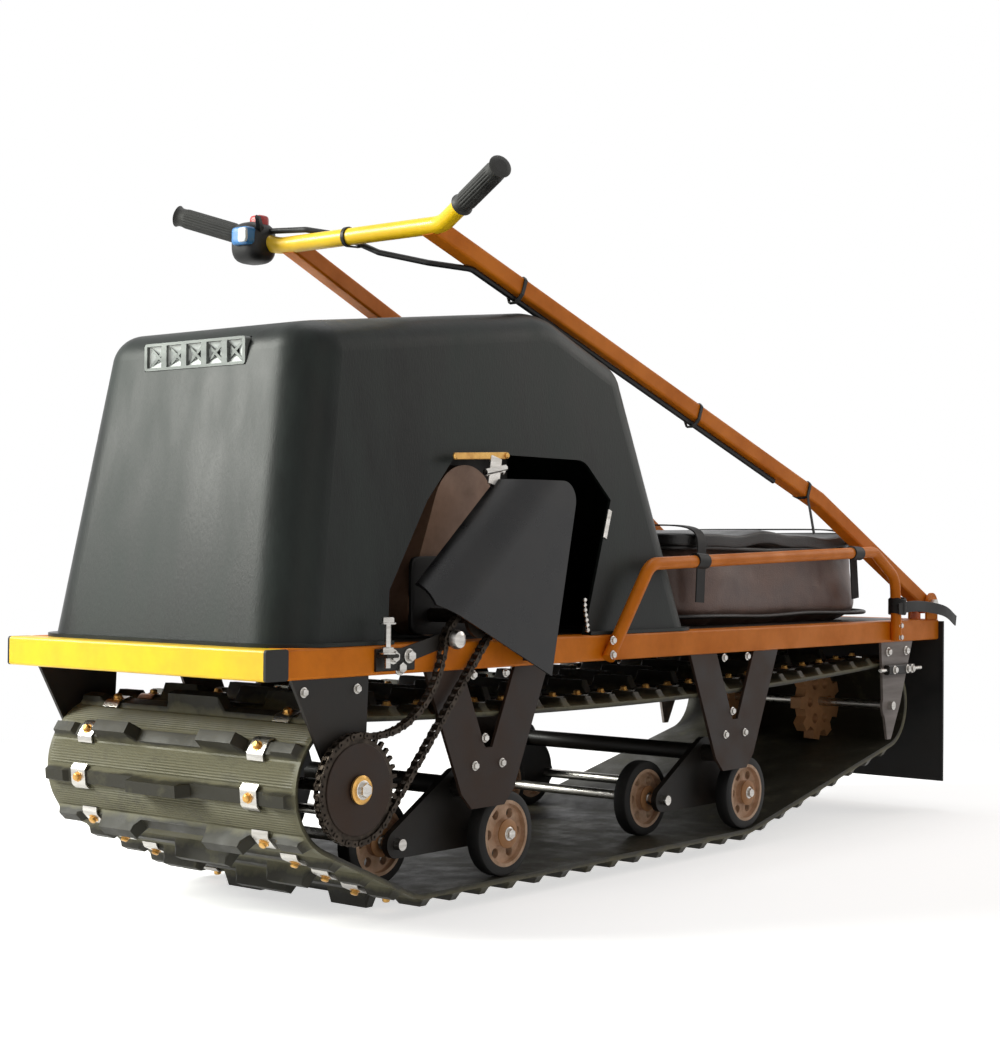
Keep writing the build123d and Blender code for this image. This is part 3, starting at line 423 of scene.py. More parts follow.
def turned(profile: Sequence[Spot], sides: int, ring: bool = False) -> Shell:
    """Turns a profile round +z: point = (r cos t, r sin t, h).

    Args:
        profile: points (r, h), none on the axis.
        sides: steps of t in a turn.
        ring: whether the profile closes on itself, as on a tyre.

    Returns:
        Closed surface, with flat ends where it isn't a ring.
    """
    r, h = np.array(profile).T[..., None]
    t = around(sides)
    points = np.stack(np.broadcast_arrays(r * np.cos(t), r * np.sin(t), h), axis=-1)
    return Shell(points.reshape(-1, 3), tube_faces(len(r), sides, ring)).outward()


def copies(shell: Shell, places: Sequence[Point], axes: Array) -> Shell:
    """Repeats a surface: point = place + x * first axis + y * second axis + z * third axis.

    Args:
        shell: the surface about its own origin.
        places: one origin a copy.
        axes: one matrix a copy, its rows the three axes.

    Returns:
        One surface with all the copies.
    """
    places = np.asarray(places, float)
    points = places[:, None] + np.einsum("pj,kji->kpi", shell.points, axes)
    starts = np.arange(len(places)) * len(shell.points)
    faces = [(group[None] + starts[:, None, None]).reshape(-1, group.shape[1]) for group in shell.faces]
    return Shell(points.reshape(-1, 3), faces)


def standing(shell: Shell, places: Sequence[Point], axis: Array) -> Shell:
    """Stands copies of a surface at places, with their +z facing one way.

    Args:
        shell: the surface about its own origin.
        places: one origin a copy.
        axis: the way they face.

    Returns:
        One surface with all the copies.
    """
    z = unit(np.asarray(axis, float))
    x = unit(np.cross(Y_AXIS if abs(z[1]) < 0.9 else X_AXIS, z))
    return copies(shell, places, np.repeat(np.stack((x, np.cross(z, x), z))[None], len(places), 0))


def disc(radius: float, sides: int) -> Array:
    """Gives a round profile of that radius."""
    return radius * np.stack((np.cos(around(sides)), np.sin(around(sides))), axis=1)


def oblong(width: float, height: float, round_part: float = 0.3) -> Array:
    """Gives a flat profile with cut corners.

    Args:
        width: size across.
        height: thickness.
        round_part: share of the smaller size that each corner takes.

    Returns:
        Eight points of the profile.
    """
    a, b, c = width / 2, height / 2, min(width, height) * round_part
    half = np.array(((a, b - c), (a - c, b), (c - a, b), (-a, b - c)))
    return np.concatenate((half, -half))


def smooth_path(points: Sequence[Point], steps: int) -> Array:
    """Runs a smooth line through a few points: on each span a cubic whose end slopes are half the neighbours' span.

    Args:
        points: the points.
        steps: steps on each span.

    Returns:
        Points of the line.
    """
    p = np.array(points, float)
    slope = np.gradient(p, axis=0)
    t = np.linspace(0.0, 1.0, steps, endpoint=False)[None, :, None]
    a, b, u, v = p[:-1, None], p[1:, None], slope[:-1, None], slope[1:, None]
    ease = 3 * t ** 2 - 2 * t ** 3
    line = a * (1 - ease) + b * ease + u * (t ** 3 - 2 * t ** 2 + t) + v * (t ** 3 - t ** 2)
    return np.concatenate((line.reshape(-1, 3), p[-1:]))


def soft_block(low: Array, high: Array, power: float, rows: int = 90, columns: int = 72) -> Shell:
    """Makes a block with soft edges: a ray from the middle is cut where |x|^p + |y|^p + |z|^p = 1, then scaled.

    Args:
        low: lowest corner.
        high: highest corner.
        power: p, the higher the squarer.
        rows: steps from one end to the other.
        columns: steps round.

    Returns:
        Closed surface.
    """
    tip = 0.012             # angle that each flat end leaves open
    a = np.linspace(tip, math.pi - tip, rows)[:, None]
    t = around(columns)
    ray = np.stack(np.broadcast_arrays(np.cos(a), np.sin(a) * np.cos(t), np.sin(a) * np.sin(t)), axis=-1)
    points = (low + high) / 2 + squared(ray, power) * (high - low) / 2
    return Shell(points.reshape(-1, 3), tube_faces(rows, columns))


def piece(name: str, shell: Shell, finish: str, replaces: Sequence[str] = (), crease: float = 32.0,
          painted_light_shade: Optional[Array] = None, body: Body = Body.CHASSIS) -> bpy.types.Object:
    """Makes an object of a surface, dresses it and hands it to its body.

    Args:
        name: name of the piece.
        shell: its surface.
        finish: name of its finish.
        replaces: CAD nodes that it stands for.
        crease: angle above which an edge stays sharp, in degrees.
        painted_light_shade: painted light and shade of each point, from -1 (shaded) to 1 (lit).
        body: body that it rides on.

    Returns:
        The object.
    """
    shell = shell.outward()
    mesh = bpy.data.meshes.new(name)
    mesh.from_pydata(shell.points.tolist(), [], [face for group in shell.faces for face in group.tolist()])
    mesh.materials.append(FINISHES[finish].material())
    mesh.shade_smooth()
    mesh.set_sharp_from_angle(angle=math.radians(crease))
    if painted_light_shade is not None:
        mesh.attributes.new("painted_light_shade", "FLOAT", "POINT").data.foreach_set("value", painted_light_shade.astype(np.float32))
    made = bpy.data.objects.new(name, mesh)
    bpy.context.scene.collection.objects.link(made)
    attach(made, body.value)
    if replaces:
        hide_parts(*replaces)
    LOG.info("piece %s: %d points", name, len(shell.points))
    return made


def bolt_head(radius: float, height: float) -> Shell:
    """Makes a hexagon head on a washer, standing on its origin along +z.

    Args:
        radius: corner radius of the head.
        height: height of the head with its washer.

    Returns:
        The surface.
    """
    low = height * 0.25
    washer = turned(((radius * 1.35, 0.0), (radius * 1.35, low * 0.8), (radius * 1.25, low)), 14)
    head = turned(((radius, low * 0.9), (radius, height * 0.86), (radius * 0.84, height)), 6)
    return merged((washer, head))


@dataclass
class BeltLine:
    """Closed line in the x-z plane, clockwise round circles, whose last run hangs slack.

    Args:
        circles: centre and radius (x, z, r) of each circle.
        slack: radius of the slack run.
        offset: how far the line stands off the circles.
        steps: points of each arc.
    """

    circles: Sequence[Point]
    slack: float
    offset: float = 0.0
    steps: int = 160

    def trace(self) -> Tuple[Array, Array]:
        """Draws the line: on a circle, point = centre + r * normal, the normal turning between the two runs.

        A straight run leaves at the angle of the way to the next circle plus a right angle minus the arc sine of
        the radius difference over the span. The slack run is an arc that touches both its circles from outside.

        Returns:
            Points and outward normals.
        """
        rings = np.array(self.circles) + np.array((0.0, 0.0, self.offset))
        after = np.roll(rings, -1, 0)
        way = after[:, :2] - rings[:, :2]
        span = np.hypot(way[:, 0], way[:, 1])
        leave = np.arctan2(way[:, 1], way[:, 0]) + math.pi / 2 - np.arcsin((rings[:, 2] - after[:, 2]) / span)
        arrive = np.roll(leave, 1)
        radius = self.slack - self.offset
        near, far = rings[-1, 2] + radius, rings[0, 2] + radius
        along = (near ** 2 - far ** 2 + span[-1] ** 2) / (2 * span[-1])
        off = math.sqrt(near ** 2 - along ** 2)
        u = way[-1] / span[-1]
        hang = rings[-1, :2] + along * u + off * np.array((-u[1], u[0]))
        leave[-1] = math.atan2(*(hang - rings[-1, :2])[::-1])
        arrive[0] = math.atan2(*(hang - rings[0, :2])[::-1])
        sweep = (arrive - leave) % (2 * math.pi)
        share = np.linspace(0.0, 1.0, self.steps)
        angle = arrive[:, None] - sweep[:, None] * share
        normal = np.stack((np.cos(angle), np.sin(angle)), axis=-1)
        points = rings[:, None, :2] + rings[:, None, 2:] * normal
        slack_turn = leave[-1] - math.pi + ((arrive[0] - leave[-1]) % (2 * math.pi)) * share
        slack_way = np.stack((np.cos(slack_turn), np.sin(slack_turn)), axis=-1)
        return (np.concatenate((points.reshape(-1, 2), hang + radius * slack_way)),
                np.concatenate((normal.reshape(-1, 2), -slack_way)))

    def length(self) -> float:
        """Gives the length of the line."""
        points, _ = self.trace()
        return float(np.linalg.norm(np.roll(points, -1, 0) - points, axis=1).sum())

    def at(self, distance: Array) -> Tuple[Array, Array]:
        """Finds points along the line.

        Args:
            distance: how far along each is.

        Returns:
            Points and outward normals, as (x, z).
        """
        points, normal = (np.concatenate((v, v[:1])) for v in self.trace())
        run = np.concatenate(((0.0,), np.cumsum(np.linalg.norm(np.diff(points, axis=0), axis=1))))
        where = np.asarray(distance) % run[-1]
        found = [np.stack([np.interp(where, run, v[:, k]) for k in range(2)], axis=-1) for v in (points, normal)]
        return found[0], unit(found[1])


@dataclass
class RubberTrack:
    """Ribbed rubber belt with its lugs, clips and bolts.

    Args:
        circles: centre and radius (x, z, r) of the belt's inner face at the drive, both wheels and the idler.
        slack: radius of the hanging upper run.
        belt: thickness.
        rows: number of lug rows.
        row_pitch: nominal distance of the rows, which the grid below is drawn for.
        half_width: half the belt's width.
        clip_y: how far the clips are from the middle.
        cross_rib: height of the rib across each row.
        tall: height of the inner lugs.
        low: height of the edge lugs.
        fine: height of the fine ribs.
        flank: distances from a row's middle between which its lugs fall off.
        rib_flank: the same for the rib across.
        rib_end: distances from the belt's middle between which the rib across falls off.
        middle_lug: the same for the middle lug.
        side_lug: distances between which a side lug rises and falls off.
        edge_lug: the same for an edge lug.
        fine_start: distance from a row's middle where the fine ribs start.
        fine_pitch: pitch of the fine ribs.
        lit_to_shaded: heights between which the tread goes from painted light on the belt face to painted shade on the
            lugs and ribs.
    """

    circles: Sequence[Point] = (
        (0.789, 0.191, 0.085), (0.630, 0.095, 0.062), (-0.202, 0.095, 0.062), (-0.693, 0.216, 0.075))
    slack: float = 13.7
    belt: float = 0.007
    rows: int = 56
    row_pitch: float = 0.068
    half_width: float = 0.25
    clip_y: float = 0.172
    cross_rib: float = 0.006
    tall: float = 0.026
    low: float = 0.012
    fine: float = 0.0012
    flank: Spot = (0.007, 0.013)
    rib_flank: Spot = (0.009, 0.013)
    rib_end: Spot = (0.243, 0.249)
    middle_lug: Spot = (0.050, 0.058)
    side_lug: Sequence[Spot] = ((0.066, 0.072), (0.140, 0.148))
    edge_lug: Sequence[Spot] = ((0.196, 0.202), (0.240, 0.246))
    fine_start: float = 0.016
    fine_pitch: float = 0.004
    lit_to_shaded: Spot = (0.0015, 0.005)

    def build(self) -> None:
        """Builds the belt and its clips."""
        line = BeltLine(self.circles, self.slack, self.belt)
        self._belt(line)
        self._clips(line)

    def _height(self, along: Array, row: Array, y: Array) -> Array:
        """Height of the tread: the highest of the cross rib, the row's lugs and the fine ribs.

        Even rows have one lug in the middle, odd rows one on each side of it, and every row has a low lug at each
        edge. The fine ribs are a cosine between the rows.

        Args:
            along: distance from the row's middle.
            row: number of the row.
            y: distance across the belt.

        Returns:
            Height above the belt's outer face.
        """
        d, w = np.abs(along)[:, None], np.abs(y)[None, :]
        flank = 1.0 - ramp(d, *self.flank)
        middle = 1.0 - ramp(w, *self.middle_lug)
        sides, edges = (ramp(w, *rise) * (1.0 - ramp(w, *fall)) for rise, fall in (self.side_lug, self.edge_lug))
        lugs = np.where((row % 2 == 0)[:, None], middle, sides)
        rib = (1.0 - ramp(d, *self.rib_flank)) * (1.0 - ramp(w, *self.rib_end))
        wave = 0.5 * (1.0 - np.cos(2 * math.pi * (d - self.fine_start) / self.fine_pitch))
        fine = wave * (d >= self.fine_start) * (w < self.edge_lug[1][1])
        return np.maximum.reduce((self.cross_rib * rib, self.tall * flank * lugs, self.low * flank * edges,
                                  self.fine * fine))

    def _belt(self, line: BeltLine) -> None:
        """Lays the tread round the loop: point = line point + height * normal, closed by the smooth inner face.

        The grid has lines where a lug or rib starts and ends, in mm from the row's and the belt's middle.

        Args:
            line: line of the belt's outer face.
        """
        fine, lug = np.arange(16.0, 34.0, 2.0), np.array((5.0, 7.0, 9.0, 13.0))
        steps = np.concatenate((-fine[::-1], -lug[::-1], lug, fine, (34.0,))) * 1e-3
        half = np.array((0.0, 25, 50, 58, 66, 72, 105, 140, 148, 157, 172, 187, 196, 202, 220, 240, 246, 250)) * 1e-3
        row = np.repeat(np.arange(self.rows), len(steps))
        along = np.tile(steps, self.rows)
        pitch = line.length() / self.rows
        spot, normal = line.at((row + 0.5) * pitch + along * pitch / self.row_pitch)
        outer = np.concatenate((-half[:0:-1], half))
        inner = np.array((1.0, 0.0, -1.0)) * (self.half_width - 0.002)
        rise = np.concatenate((self._height(along, row, outer), np.full((len(along), len(inner)), -self.belt)), axis=1)
        y = np.broadcast_to(np.concatenate((outer, inner)), rise.shape)
        flat = spot[:, None] + rise[..., None] * normal[:, None]
        points = np.stack((flat[..., 0], y, flat[..., 1]), axis=-1)
        shell = Shell(points.reshape(-1, 3), tube_faces(*rise.shape, True))
        # Painted light and shade: the belt face is painted lit (1), and the lugs, the rib across and the inner face are
        # painted shaded (-1).
        painted_light_shade = np.where(rise < 0.0, -1.0, 1.0 - 2.0 * ramp(rise, *self.lit_to_shaded))
        piece("track_tread", shell, "track_rubber", ("track",), crease=24.0, painted_light_shade=painted_light_shade.reshape(-1))

    def _clips(self, line: BeltLine) -> None:
        """Sets a bent steel clip and its bolt on each row, on both sides of the middle.

        Args:
            line: line of the belt's outer face.
        """
        pitch = line.length() / self.rows
        spot, normal = line.at((np.repeat(np.arange(self.rows), 2) + 0.5) * pitch)
        spot = spot + self.cross_rib * normal
        side = np.tile((-1.0, 1.0), self.rows)
        places = np.stack((spot[:, 0], side * self.clip_y, spot[:, 1]), axis=1)
        up = np.stack((normal[:, 0], np.zeros(len(side)), normal[:, 1]), axis=1)
        across = np.broadcast_to(Y_AXIS, up.shape)
        axes = np.stack((np.cross(across, up), across, up), axis=1)
        bend = np.array(((-17, 0, -5), (-13, 0, -1), (-10, 0, 1), (10, 0, 1), (13, 0, -1), (17, 0, -5))) * 1e-3
        clip = swept(bend, np.array(((15, -1.2), (15, 1.2), (-15, 1.2), (-15, -1.2))) * 1e-3, Z_AXIS)
        bolt = turned(((0.0075, 0.0018), (0.0075, 0.0032), (0.0055, 0.0036), (0.0055, 0.0072), (0.0038, 0.0088)), 8)
        piece("track_clips", copies(clip, places, axes), "steel")
        piece("track_clip_bolts", copies(bolt, places, axes), "brass")


@dataclass
class RoadWheels:
    """Rubber tyres, hub caps and axle bolts of the road wheels.

    Args:
        centre_z: height of the wheels' centre.
        outer_x: places of the outer wheels along the machine.
        inner_x: places of the inner wheels.
        outer_y: distance of the outer wheels' middle from the machine's middle.
        inner_y: distance of the inner wheels' middle.
        radius: tyre radius.
        hub: radius inside the tyre.
        half_width: half the tyre's width.
    """

    centre_z: float = 0.095
    outer_x: Spot = (0.448, -0.202)
    inner_x: Spot = (0.630, -0.020)
    outer_y: float = 0.232
    inner_y: float = 0.152
    radius: float = 0.0617
    hub: float = 0.048
    half_width: float = 0.013

    def build(self) -> None:
        """Builds the tyres and the parts on the hubs, on both sides."""
        face = corners("wheel_hubs")[1][1] - self.outer_y
        places = np.array([(x, y, self.centre_z) for xs, y in (
            (self.outer_x, self.outer_y), (self.inner_x, self.inner_y)) for x in xs])
        r, w = self.radius, self.half_width
        edge = np.array(((self.hub, w), (r - 0.005, w), (r - 0.0012, w - 0.002), (r, w - 0.005)))
        tyre = turned(np.concatenate((edge * (1.0, -1.0), edge[::-1])), 64, ring=True)
        cap = turned(((0.021, 0.0), (0.021, 0.002), (0.018, 0.0042), (0.012, 0.005), (0.011, 0.0038)), 28)
        for name, shell, out, finish, stands_for in (
                ("tyre_rings", tyre, 0.0, "wheel_rubber", ("wheel_tyres",)),
                ("hub_caps", cap, face, "tan_plastic", ()),
                ("hub_bolts", bolt_head(0.0075, 0.0075), face + 0.003, "steel", ())):
            piece(name, mirrored((standing(shell, places + out * Y_AXIS, Y_AXIS),)), finish, stands_for)


@dataclass
class DriveChain:
    """Roller chain made of its single links.

    Args:
        circles: centre and radius (x, z, r) of the sprocket, the pinion and the tension roller at the pitch line.
        slack: radius of the hanging run.
        middle_y: middle of the chain.
        teeth: teeth of the sprocket.
        roller: roller radius.
        pin: pin radius.
        plates: nearest and farthest face of the inner and of the outer plates from the middle.
        plate: half height of a plate, and how much its waist is drawn in.
    """

    circles: Sequence[Point] = ((0.789, 0.191, 0.070), (0.545, 0.410, 0.034), (0.604, 0.380, 0.015))
    slack: float = 0.135
    middle_y: float = 0.270
    teeth: int = 35
    roller: float = 0.0036
    pin: float = 0.0018
    plates: Sequence[Spot] = ((0.0035, 0.0046), (0.0048, 0.0059))
    plate: Spot = (0.0052, 0.0014)

    def build(self) -> None:
        """Builds the plates and the rollers."""
        line = BeltLine(self.circles, self.slack)
        length = line.length()
        count = 2 * round(length * self.teeth / (4 * math.pi * self.circles[0][2]))
        pins, _ = line.at(np.arange(count) * length / count)
        pins = np.insert(pins, 1, self.middle_y, axis=1)
        ends = np.roll(pins, -1, 0)
        middle, along = (pins + ends) / 2, unit(ends - pins)
        across = np.broadcast_to(Y_AXIS, along.shape)
        axes = np.stack((along, np.cross(across, along), across), axis=1)
        shells = []
        for kind, (near, far) in enumerate(self.plates):
            plate = merged([self._plate(length / count / 2, side * near, side * far) for side in (-1.0, 1.0)])
            shells.append(copies(plate, middle[kind::2], axes[kind::2]))
        inside, outside = self.plates[0][0], self.plates[1][1]
        barrel = turned(((self.roller, -inside), (self.roller, inside)), 10)
        pin = turned(((self.pin, -outside), (self.pin, outside)), 6)
        shells.append(copies(merged((barrel, pin)), pins, axes))
        piece("chain_links", merged(shells), "chain_steel", ("chain",))

    def _plate(self, half: float, low: float, high: float) -> Shell:
        """Makes a waisted plate: two round ends, drawn in between them where the cosine is small.

        Args:
            half: half the pitch.
            low: one face.
            high: the other face.

        Returns:
            The plate.
        """
        count = 20
        c, s = np.cos(around(count)), np.sin(around(count))
        width = self.plate[0] - self.plate[1] * (np.abs(c) < 0.35)
        outline = np.stack((np.clip(1.6 * c, -1.0, 1.0) * half + self.plate[0] * c ** 3,
                            width * np.sign(s) * np.abs(s) ** 0.6), axis=1)
        points = np.concatenate([np.column_stack((outline, np.full(count, z))) for z in (low, high)])
        return Shell(points, tube_faces(2, count)).outward()


@dataclass
class ToolBag:
    """Soft tool bag behind the hood with its lid, piping and straps.

    Args:
        gap: how much smaller the bag starts than the space it has.
        power: squareness of its edges.
        fold: depth of the folds in its sides.
        foot: how much wider its foot is.
        sag: how far its top hangs down.
        pressure: pressure of the filling.
        swell: how far the filling may push a point out.
        voxel: size of the cloth's mesh.
        frames: steps of the cloth simulation.
        lid_depth: how far the lid reaches down.
        lid_power: squareness of the lid and of the piping.
        lid_wave: how far the lid waves up and to the side.
        piping: radius of the piping.
        strap: thickness and width of the straps.
        strap_power: squareness of their run over the bag.
        lashings: place of each strap along the bag's top, and how much it slants down the side.
        sleeves: places (x, z) of the rubber sleeves on the guard rails.
        tail: points of the loose strap end, from the foot of the left rail's rear post.
    """

    gap: float = 0.010
    power: float = 7.0
    fold: float = 0.007
    foot: float = 0.012
    sag: float = 0.010
    pressure: float = 4.0
    swell: float = 0.010
    voxel: float = 0.008
    frames: int = 20
    lid_depth: float = 0.030
    lid_power: float = 9.0
    lid_wave: Spot = (0.0035, 0.0012)
    piping: float = 0.0038
    strap: Spot = (0.0026, 0.026)
    strap_power: float = 8.0
    lashings: Sequence[Spot] = ((-0.125, 0.06), (-0.640, -0.12))
    sleeves: Sequence[Spot] = ((-0.014, 0.489), (-0.530, 0.5045))
    tail: Sequence[Point] = ((0.030, 0.004, 0.400), (-0.02, 0.004, 0.404), (-0.09, 0.002, 0.402),
                             (-0.17, 0.001, 0.392), (-0.235, -0.008, 0.372))

    def build(self) -> None:
        """Builds the bag and what is sewn or tied to it."""
        self._body()
        self._lid()
        self._piping()
        self._lash()
        self._tie()

    def _body(self) -> None:
        """Builds the bag: a soft block whose sides sag in folds, filled out by a cloth simulation.

        The folds move a side in by a product of two cosines of the place along the bag and of its height.
        """
        low, high = corners("tool_bag")
        shell = soft_block(low + self.gap * np.array((1, 1, 0.2)), high - self.gap * np.array((1, 1, 2.2)), self.power)
        p = shell.points
        x, y, z = ((p - low) / (high - low)).T
        side = np.sign(p[:, 1]) * (np.abs(y - 0.5) > 0.35)
        fold = np.cos(9.0 * x + 5.0 * z) * np.cos(4.0 * z - 11.0 * x + 0.6)
        p[:, 1] -= side * self.fold * (0.6 + 0.4 * fold) * np.sin(math.pi * np.clip(z, 0, 1))
        p[:, 1] += side * self.foot * np.clip(1.0 - z / 0.55, 0.0, 1.0)
        p[:, 2] -= self.sag * np.sin(math.pi * np.clip(x, 0, 1)) * (z > 0.6) * (0.7 + 0.3 * np.cos(13.0 * x + 3.0 * y))
        bag = piece("bag_body", shell, "bag_leatherette", ("tool_bag",), crease=ALL_SMOOTH)
        self._fill(bag)

    def _fill(self, bag: bpy.types.Object) -> None:
        """Swells the bag as cloth under pressure, keeps each point within its reach, and smooths it once.

        Args:
            bag: the bag.
        """
        remesh = bag.modifiers.new("even", "REMESH")
        remesh.mode = "VOXEL"
        remesh.voxel_size = self.voxel
        remesh.use_smooth_shade = True
        self._apply(bag, remesh.name)
        start = self._places(bag)
        cloth = bag.modifiers.new("filling", "CLOTH")
        cloth.settings.use_pressure = True
        cloth.settings.uniform_pressure_force = self.pressure
        cloth.settings.effector_weights.gravity = 0.0
        cloth.settings.quality = 4
        cloth.collision_settings.use_collision = False
        scene = bpy.context.scene
        for number in range(1, self.frames + 1):
            scene.frame_set(number)
        self._apply(bag, cloth.name)
        scene.frame_set(1)
        move = self._places(bag) - start
        far = np.linalg.norm(move, axis=1, keepdims=True)
        move *= np.minimum(1.0, self.swell / np.maximum(far, 1e-9))
        bag.data.vertices.foreach_set("co", (start + move).reshape(-1))
        bag.data.update()
        finer = bag.modifiers.new("finer", "SUBSURF")
        finer.levels = finer.render_levels = 1
        self._apply(bag, finer.name)

    @staticmethod
    def _places(made: bpy.types.Object) -> Array:
        """Gives the places of an object's points, one row each."""
        flat = np.empty(len(made.data.vertices) * 3)
        made.data.vertices.foreach_get("co", flat)
        return flat.reshape(-1, 3)

    @staticmethod
    def _apply(made: bpy.types.Object, modifier: str) -> None:
        """Makes a modifier's result the mesh itself.

        Args:
            made: the object.
            modifier: name of its modifier.
        """
        with bpy.context.temp_override(object=made, active_object=made, selected_objects=[made]):
            bpy.ops.object.modifier_apply(modifier=modifier)

    def _lid(self) -> None:
        """Lays the lid: a flat soft block whose rim waves by a sum of two cosines."""
        low, high = corners("tool_bag")
        corner = np.array((low[0] - 0.002, low[1] - 0.004, high[2] - self.lid_depth))
        shell = soft_block(corner, high + (0.002, 0.004, -0.003), self.lid_power)
        p = shell.points
        wave = np.cos(19.0 * p[:, 0] + 0.4) + 0.6 * np.cos(41.0 * p[:, 0] + 6.0 * p[:, 1])
        p[:, 2] += self.lid_wave[0] * wave - 0.004
        p[:, 1] += np.sign(p[:, 1]) * self.lid_wave[1] * wave * (np.abs(p[:, 1]) > 0.15)
        lid = piece("bag_lid", shell, "lid_leatherette", crease=ALL_SMOOTH)

    def _piping(self) -> None:
        """Sews piping round the foot of the bag and under its lid, along a superellipse."""
        low, high = corners("tool_bag")
        t = around(200)
        ray = squared(np.stack((np.cos(t), np.sin(t)), axis=1), self.lid_power)
        line = (low + high)[:2] / 2 + ray * ((high - low)[:2] / 2 - 0.003)
        cords = [swept(np.column_stack((line, height + 0.0015 * np.cos(7 * t))), disc(self.piping, 8), Z_AXIS, True)
                 for height in (low[2] + 0.016, high[2] - self.lid_depth - 0.006)]
        piece("bag_piping", merged(cords), "lid_leatherette", crease=ALL_SMOOTH)

    def _lash(self) -> None:
        """Lashes the bag down, each strap a superellipse over it that ends flat on the deck."""
        low, high = corners("tool_bag")
        t = np.linspace(-0.45, math.pi + 0.45, 90)
        ray = squared(np.stack((np.cos(t), np.sin(t)), axis=1), self.strap_power)
        y, z = ((low + high)[1:] / 2 + ray * ((high - low)[1:] / 2 + (0.0085, 0.0035))).T
        z = np.maximum(z, low[2] + 0.0024)
        straps = [swept(np.column_stack((x + slant * (high[2] - z), y, z)), oblong(*self.strap), X_AXIS)
                  for x, slant in self.lashings]
        piece("bag_straps", merged(straps), "rubber_sheet")

    def _tie(self) -> None:
        """Puts rubber sleeves on the rails and ties a strap to the left rail's rear post, with a long tail."""
        low, high = corners("guard_rail_left")
        outer_y, foot = high[1], low[0]
        middle_y = outer_y - 0.010
        sleeves = [swept([(x + s * 0.016, middle_y, z + s * 0.0008) for s in (-1.0, 1.0)], disc(0.0125, 20), Z_AXIS)
                   for x, z in self.sleeves]
        piece("rail_sleeves", mirrored(sleeves), "rubber_sheet")
        tail = smooth_path(np.array(self.tail) + (foot, outer_y, 0.0), 8)
        loops = [swept(tail, oblong(self.strap[0], self.strap[1] * 0.8), Z_AXIS)]
        turn = around(24)
        for z in (0.398, 0.412):
            ring = np.stack((foot + 0.0085 + 0.0145 * np.cos(turn), middle_y + 0.0145 * np.sin(turn),
                             z + 0.002 * np.cos(2 * turn)), axis=1)
            loops.append(swept(ring, oblong(0.005, 0.016), Z_AXIS, True))
        piece("bag_tie_tail", merged(loops), "rubber_sheet")


